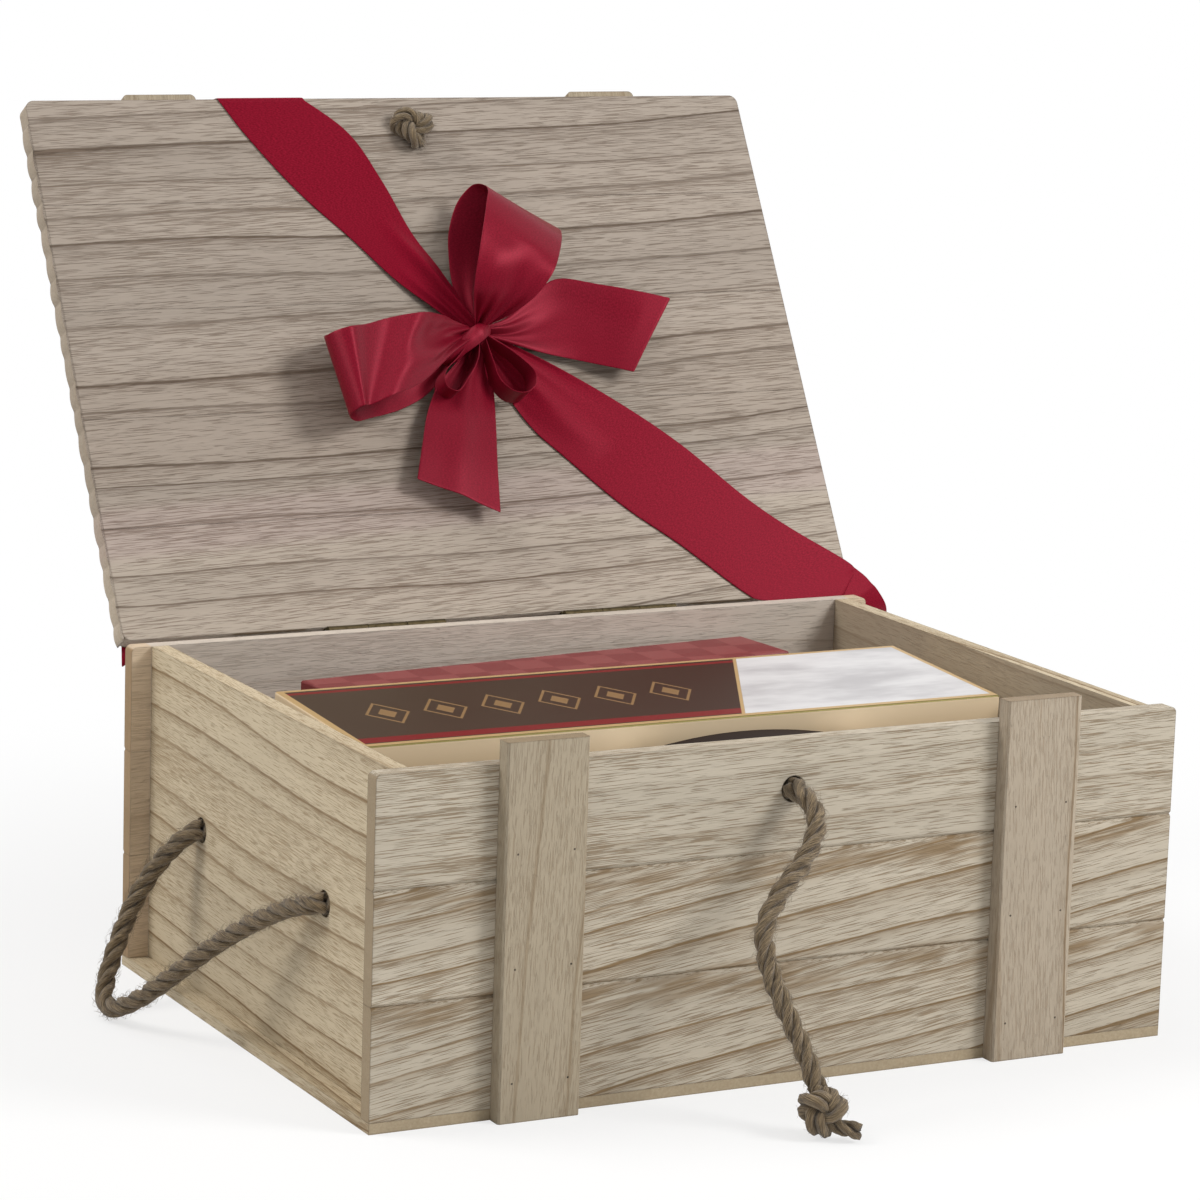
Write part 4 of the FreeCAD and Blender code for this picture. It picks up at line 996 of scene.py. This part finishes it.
LOWER_TAIL = (
    ((12.5, 130.8, 4), (17.3, 129.7, 4)), ((2.3, 120.4, 4), (17.9, 118.9, 4)),
    ((-10.7, 108.4, 5), (16.5, 104.9, 5)), ((-19.1, 95.9, 7), (13.8, 90.1, 6)),
    ((-26.5, 78.7, 9), (9, 67.9, 8)), ((-32.8, 62.5, 10), (5, 44.8, 9)),
)
RIGHT_CURL = (
    # right of the middle, up from the hinge edge
    (15.5, 128.5), (23.9, 121.5), (30, 114.9), (33.7, 108.9), (33.1, 104.1), (27.5, 99.4), (21.7, 100.2),
    (16.4, 105.7), (15, 115.5), (14.2, 127),
)
LEFT_CURL = (
    (8.5, 129), (-1.8, 118.5), (-11.2, 109.2), (-11.4, 103.5), (-7.9, 101.4), (1.1, 108.7),
    (8.1, 118.2), (11, 127.5),
)
CURL_RISE, CURL_TIED, CURL_OPEN = 9, 3.2, 3.6


def curl(name, path):
    """A small loop of ribbon on edge, narrow where it is tied."""
    stations = []
    for k, (x, r) in enumerate(path):
        half = CURL_TIED + CURL_OPEN * math.sin(math.pi * k / (len(path) - 1))
        stations.append(((x, r, CURL_RISE - half), (x, r, CURL_RISE + half)))
    ribbon(name, stations, 60, width=CURL_WIDTH)


ribbon("bow_upper_loop_satin", UPPER_LOOP, 100, drawn_in(2.8, 0.16, 0, 1), replaced=["bow_upper_loop"],
       creases=((2.4, 0.28, 0.17, 0.68, 1.0), (-2.6, 0.62, 0.2, 0.66, 1.0)))
ribbon("bow_left_loop_satin", LEFT_LOOP, 100, drawn_in(2.8, 0.16, 0, 1), replaced=["bow_left_loop"],
       creases=((3.0, 0.3, 0.16, 0.7, 0.99), (-3.0, 0.62, 0.18, 0.7, 0.99)))
ribbon("bow_right_tail_satin", RIGHT_TAIL, 70, drawn_in(2.6, 0.3, 0), crown=1.2, replaced=["bow_right_tail"],
       creases=((1.2, 0.3, 0.2, 0.1, 0.9),))
ribbon("bow_lower_tail_satin", LOWER_TAIL, 70, drawn_in(2.6, 0.3, 0), crown=0.6, replaced=["bow_lower_tail"],
       creases=((1.8, 0.5, 0.17, 0.05, 1.3),))
curl("bow_right_curl_satin", RIGHT_CURL)
curl("bow_left_curl_satin", LEFT_CURL)

# The short roll of ribbon that ties the bow: x, r, n and half width
TIE_ROUTE = (
    (-5, 119.3, 5, 2.4), (-4, 120, 8, 3.2), (1, 123.9, 11, 3.9), (7.4, 127.6, 12.5, 4), (13, 131, 12.5, 3.7),
    (16.6, 133.3, 9, 3.3), (17.2, 133.8, 4, 3),
)
TIE_ACROSS = Vector((-0.54, 0.84))
tie = []
for x, r, n, half in TIE_ROUTE:
    aside = TIE_ACROSS * half
    tie.append(((x - aside.x, r - aside.y, n), (x + aside.x, r + aside.y, n)))
ribbon("bow_tie_satin", tie, 50, crown=2.0, replaced=["bow_tie"], width=TIE_WIDTH)

# Where the ribbon folds over the lid's edges and runs along its back, with its heights out of the inner face
OUTSIDE, BESIDE = -LID_THK - 0.45, -LID_THK - 0.35
OVER, UNDER = 0.35, -16.75
TOP_FOLD = (
    ((-87, 249.5, 0.5), (-45, 249.5, 0.5)), ((-88, 252.2, 0.5), (-46, 252.2, 0.5)),
    ((-88.6, 252.6, -1), (-46.6, 252.6, -1)), ((-91, 252.6, -8), (-49.5, 252.6, -8)),
    ((-91.6, 252.2, OUTSIDE), (-50.2, 252.2, OUTSIDE)),
    ((-92.2, 247, OUTSIDE), (-51.5, 249, OUTSIDE)), ((-92.6, 214, OUTSIDE), (-54, 220, OUTSIDE)),
)
ribbon("ribbon_top_fold_satin", TOP_FOLD, 60, replaced=["ribbon_top_fold"],
       material=band_satin)
BACK_BAND = (
    ((131, -1, OVER), (181, 14, OVER)), ((142, -5, OVER), (187, 8.5, OVER)),
    ((165, -6.8, OVER), (191, 3.2, OVER)), ((174, -7, OVER), (193, 1, OVER - 0.4)),
    ((181, -12, OVER - 3.5), (198, -7, OVER - 3.5)),
    ((182, -14, -9), (200, -10, -9)), ((176, -9, -16), (193, 4, -15.5)),
    ((150, -4, UNDER), (150, 34, UNDER)), ((132, -4, UNDER), (132, 34, UNDER)),
    ((0, -4, UNDER), (0, 34, UNDER)), ((-132, -4, UNDER), (-132, 34, UNDER)),
    ((-154, -4, -11.35), (-154, 34, -11.35)), ((-172, -5, BESIDE), (-168, 33, BESIDE)),
    ((-178.5, -9, BESIDE), (-172, 29, BESIDE)),
)
ribbon("ribbon_back_band_satin", BACK_BAND, 220, replaced=["ribbon_corner_fold", "ribbon_back_band"],
       flatten=False,
       material=band_satin)


# Floor, light and world
def lamp(name, place, target, size, watts, colour=(1, 1, 1)):
    """A round lamp that looks at a target."""
    data = bpy.data.lights.new(name, "AREA")
    data.shape, data.size, data.energy, data.color = "DISK", size, watts, colour
    light = bpy.data.objects.new(name, data)
    light.location = place
    light.rotation_euler = (Vector(place) - Vector(target)).to_track_quat("Z", "Y").to_euler()
    scene.collection.objects.link(light)


lamp("key", (0.95, -1.05, 1.15), (0, 0, 0.12), size=0.7, watts=20.5, colour=(1, 0.99, 0.975))
lamp("fill", (-1.3, 0.55, 1.7), (0, 0, 0.12), size=0.9, watts=22.5, colour=(1, 0.975, 0.94))
lamp("top", (-0.2, 0.3, 2.2), (0, 0, 0.1), size=1.4, watts=5)

FLOOR_HALF, FLOOR_GREY, FLOOR_GLOW = 4.0, 0.82, 0.7
SHADOW_FROM, SHADOW_TO = 0.22, 0.62
AMBIENT, WHITE = 0.42, 1.0


def white_floor():
    """A floor seen as white, with some of the object's shadow near the middle."""
    g = material_graph("white_floor")
    matte = g.add("BsdfDiffuse", {"Color": (FLOOR_GREY, FLOOR_GREY, FLOOR_GREY, 1)})
    glow = g.add("Emission", {"Color": (1, 1, 1, 1), "Strength": WHITE})
    spot = g.add("NewGeometry").outputs["Position"]
    away = g.add("VectorMath", {0: spot}, operation="LENGTH").outputs["Value"]
    bright = g.calc("MULTIPLY_ADD", g.span(away, SHADOW_FROM, SHADOW_TO), 1 - FLOOR_GLOW, FLOOR_GLOW)
    share = g.times(g.straight(), bright)
    material = g.end(g.add("MixShader", {0: share, 1: matte.outputs[0], 2: glow.outputs[0]}))
    corners = [(x * FLOOR_HALF, y * FLOOR_HALF, 0) for x, y in ((-1, -1), (1, -1), (1, 1), (-1, 1))]
    new_object("floor", corners, [(0, 1, 2, 3)], material)


def white_world():
    """A background seen as white, which lights things with its ambient share."""
    g = Graph(bpy.data.worlds.new("white_world"))
    level = g.add("MapRange", {"Value": g.straight(), "To Min": AMBIENT, "To Max": WHITE}).outputs[0]
    return g.end(g.add("Background", {"Color": (1, 1, 1, 1), "Strength": level}), "OutputWorld")


white_floor()
scene.world = white_world()
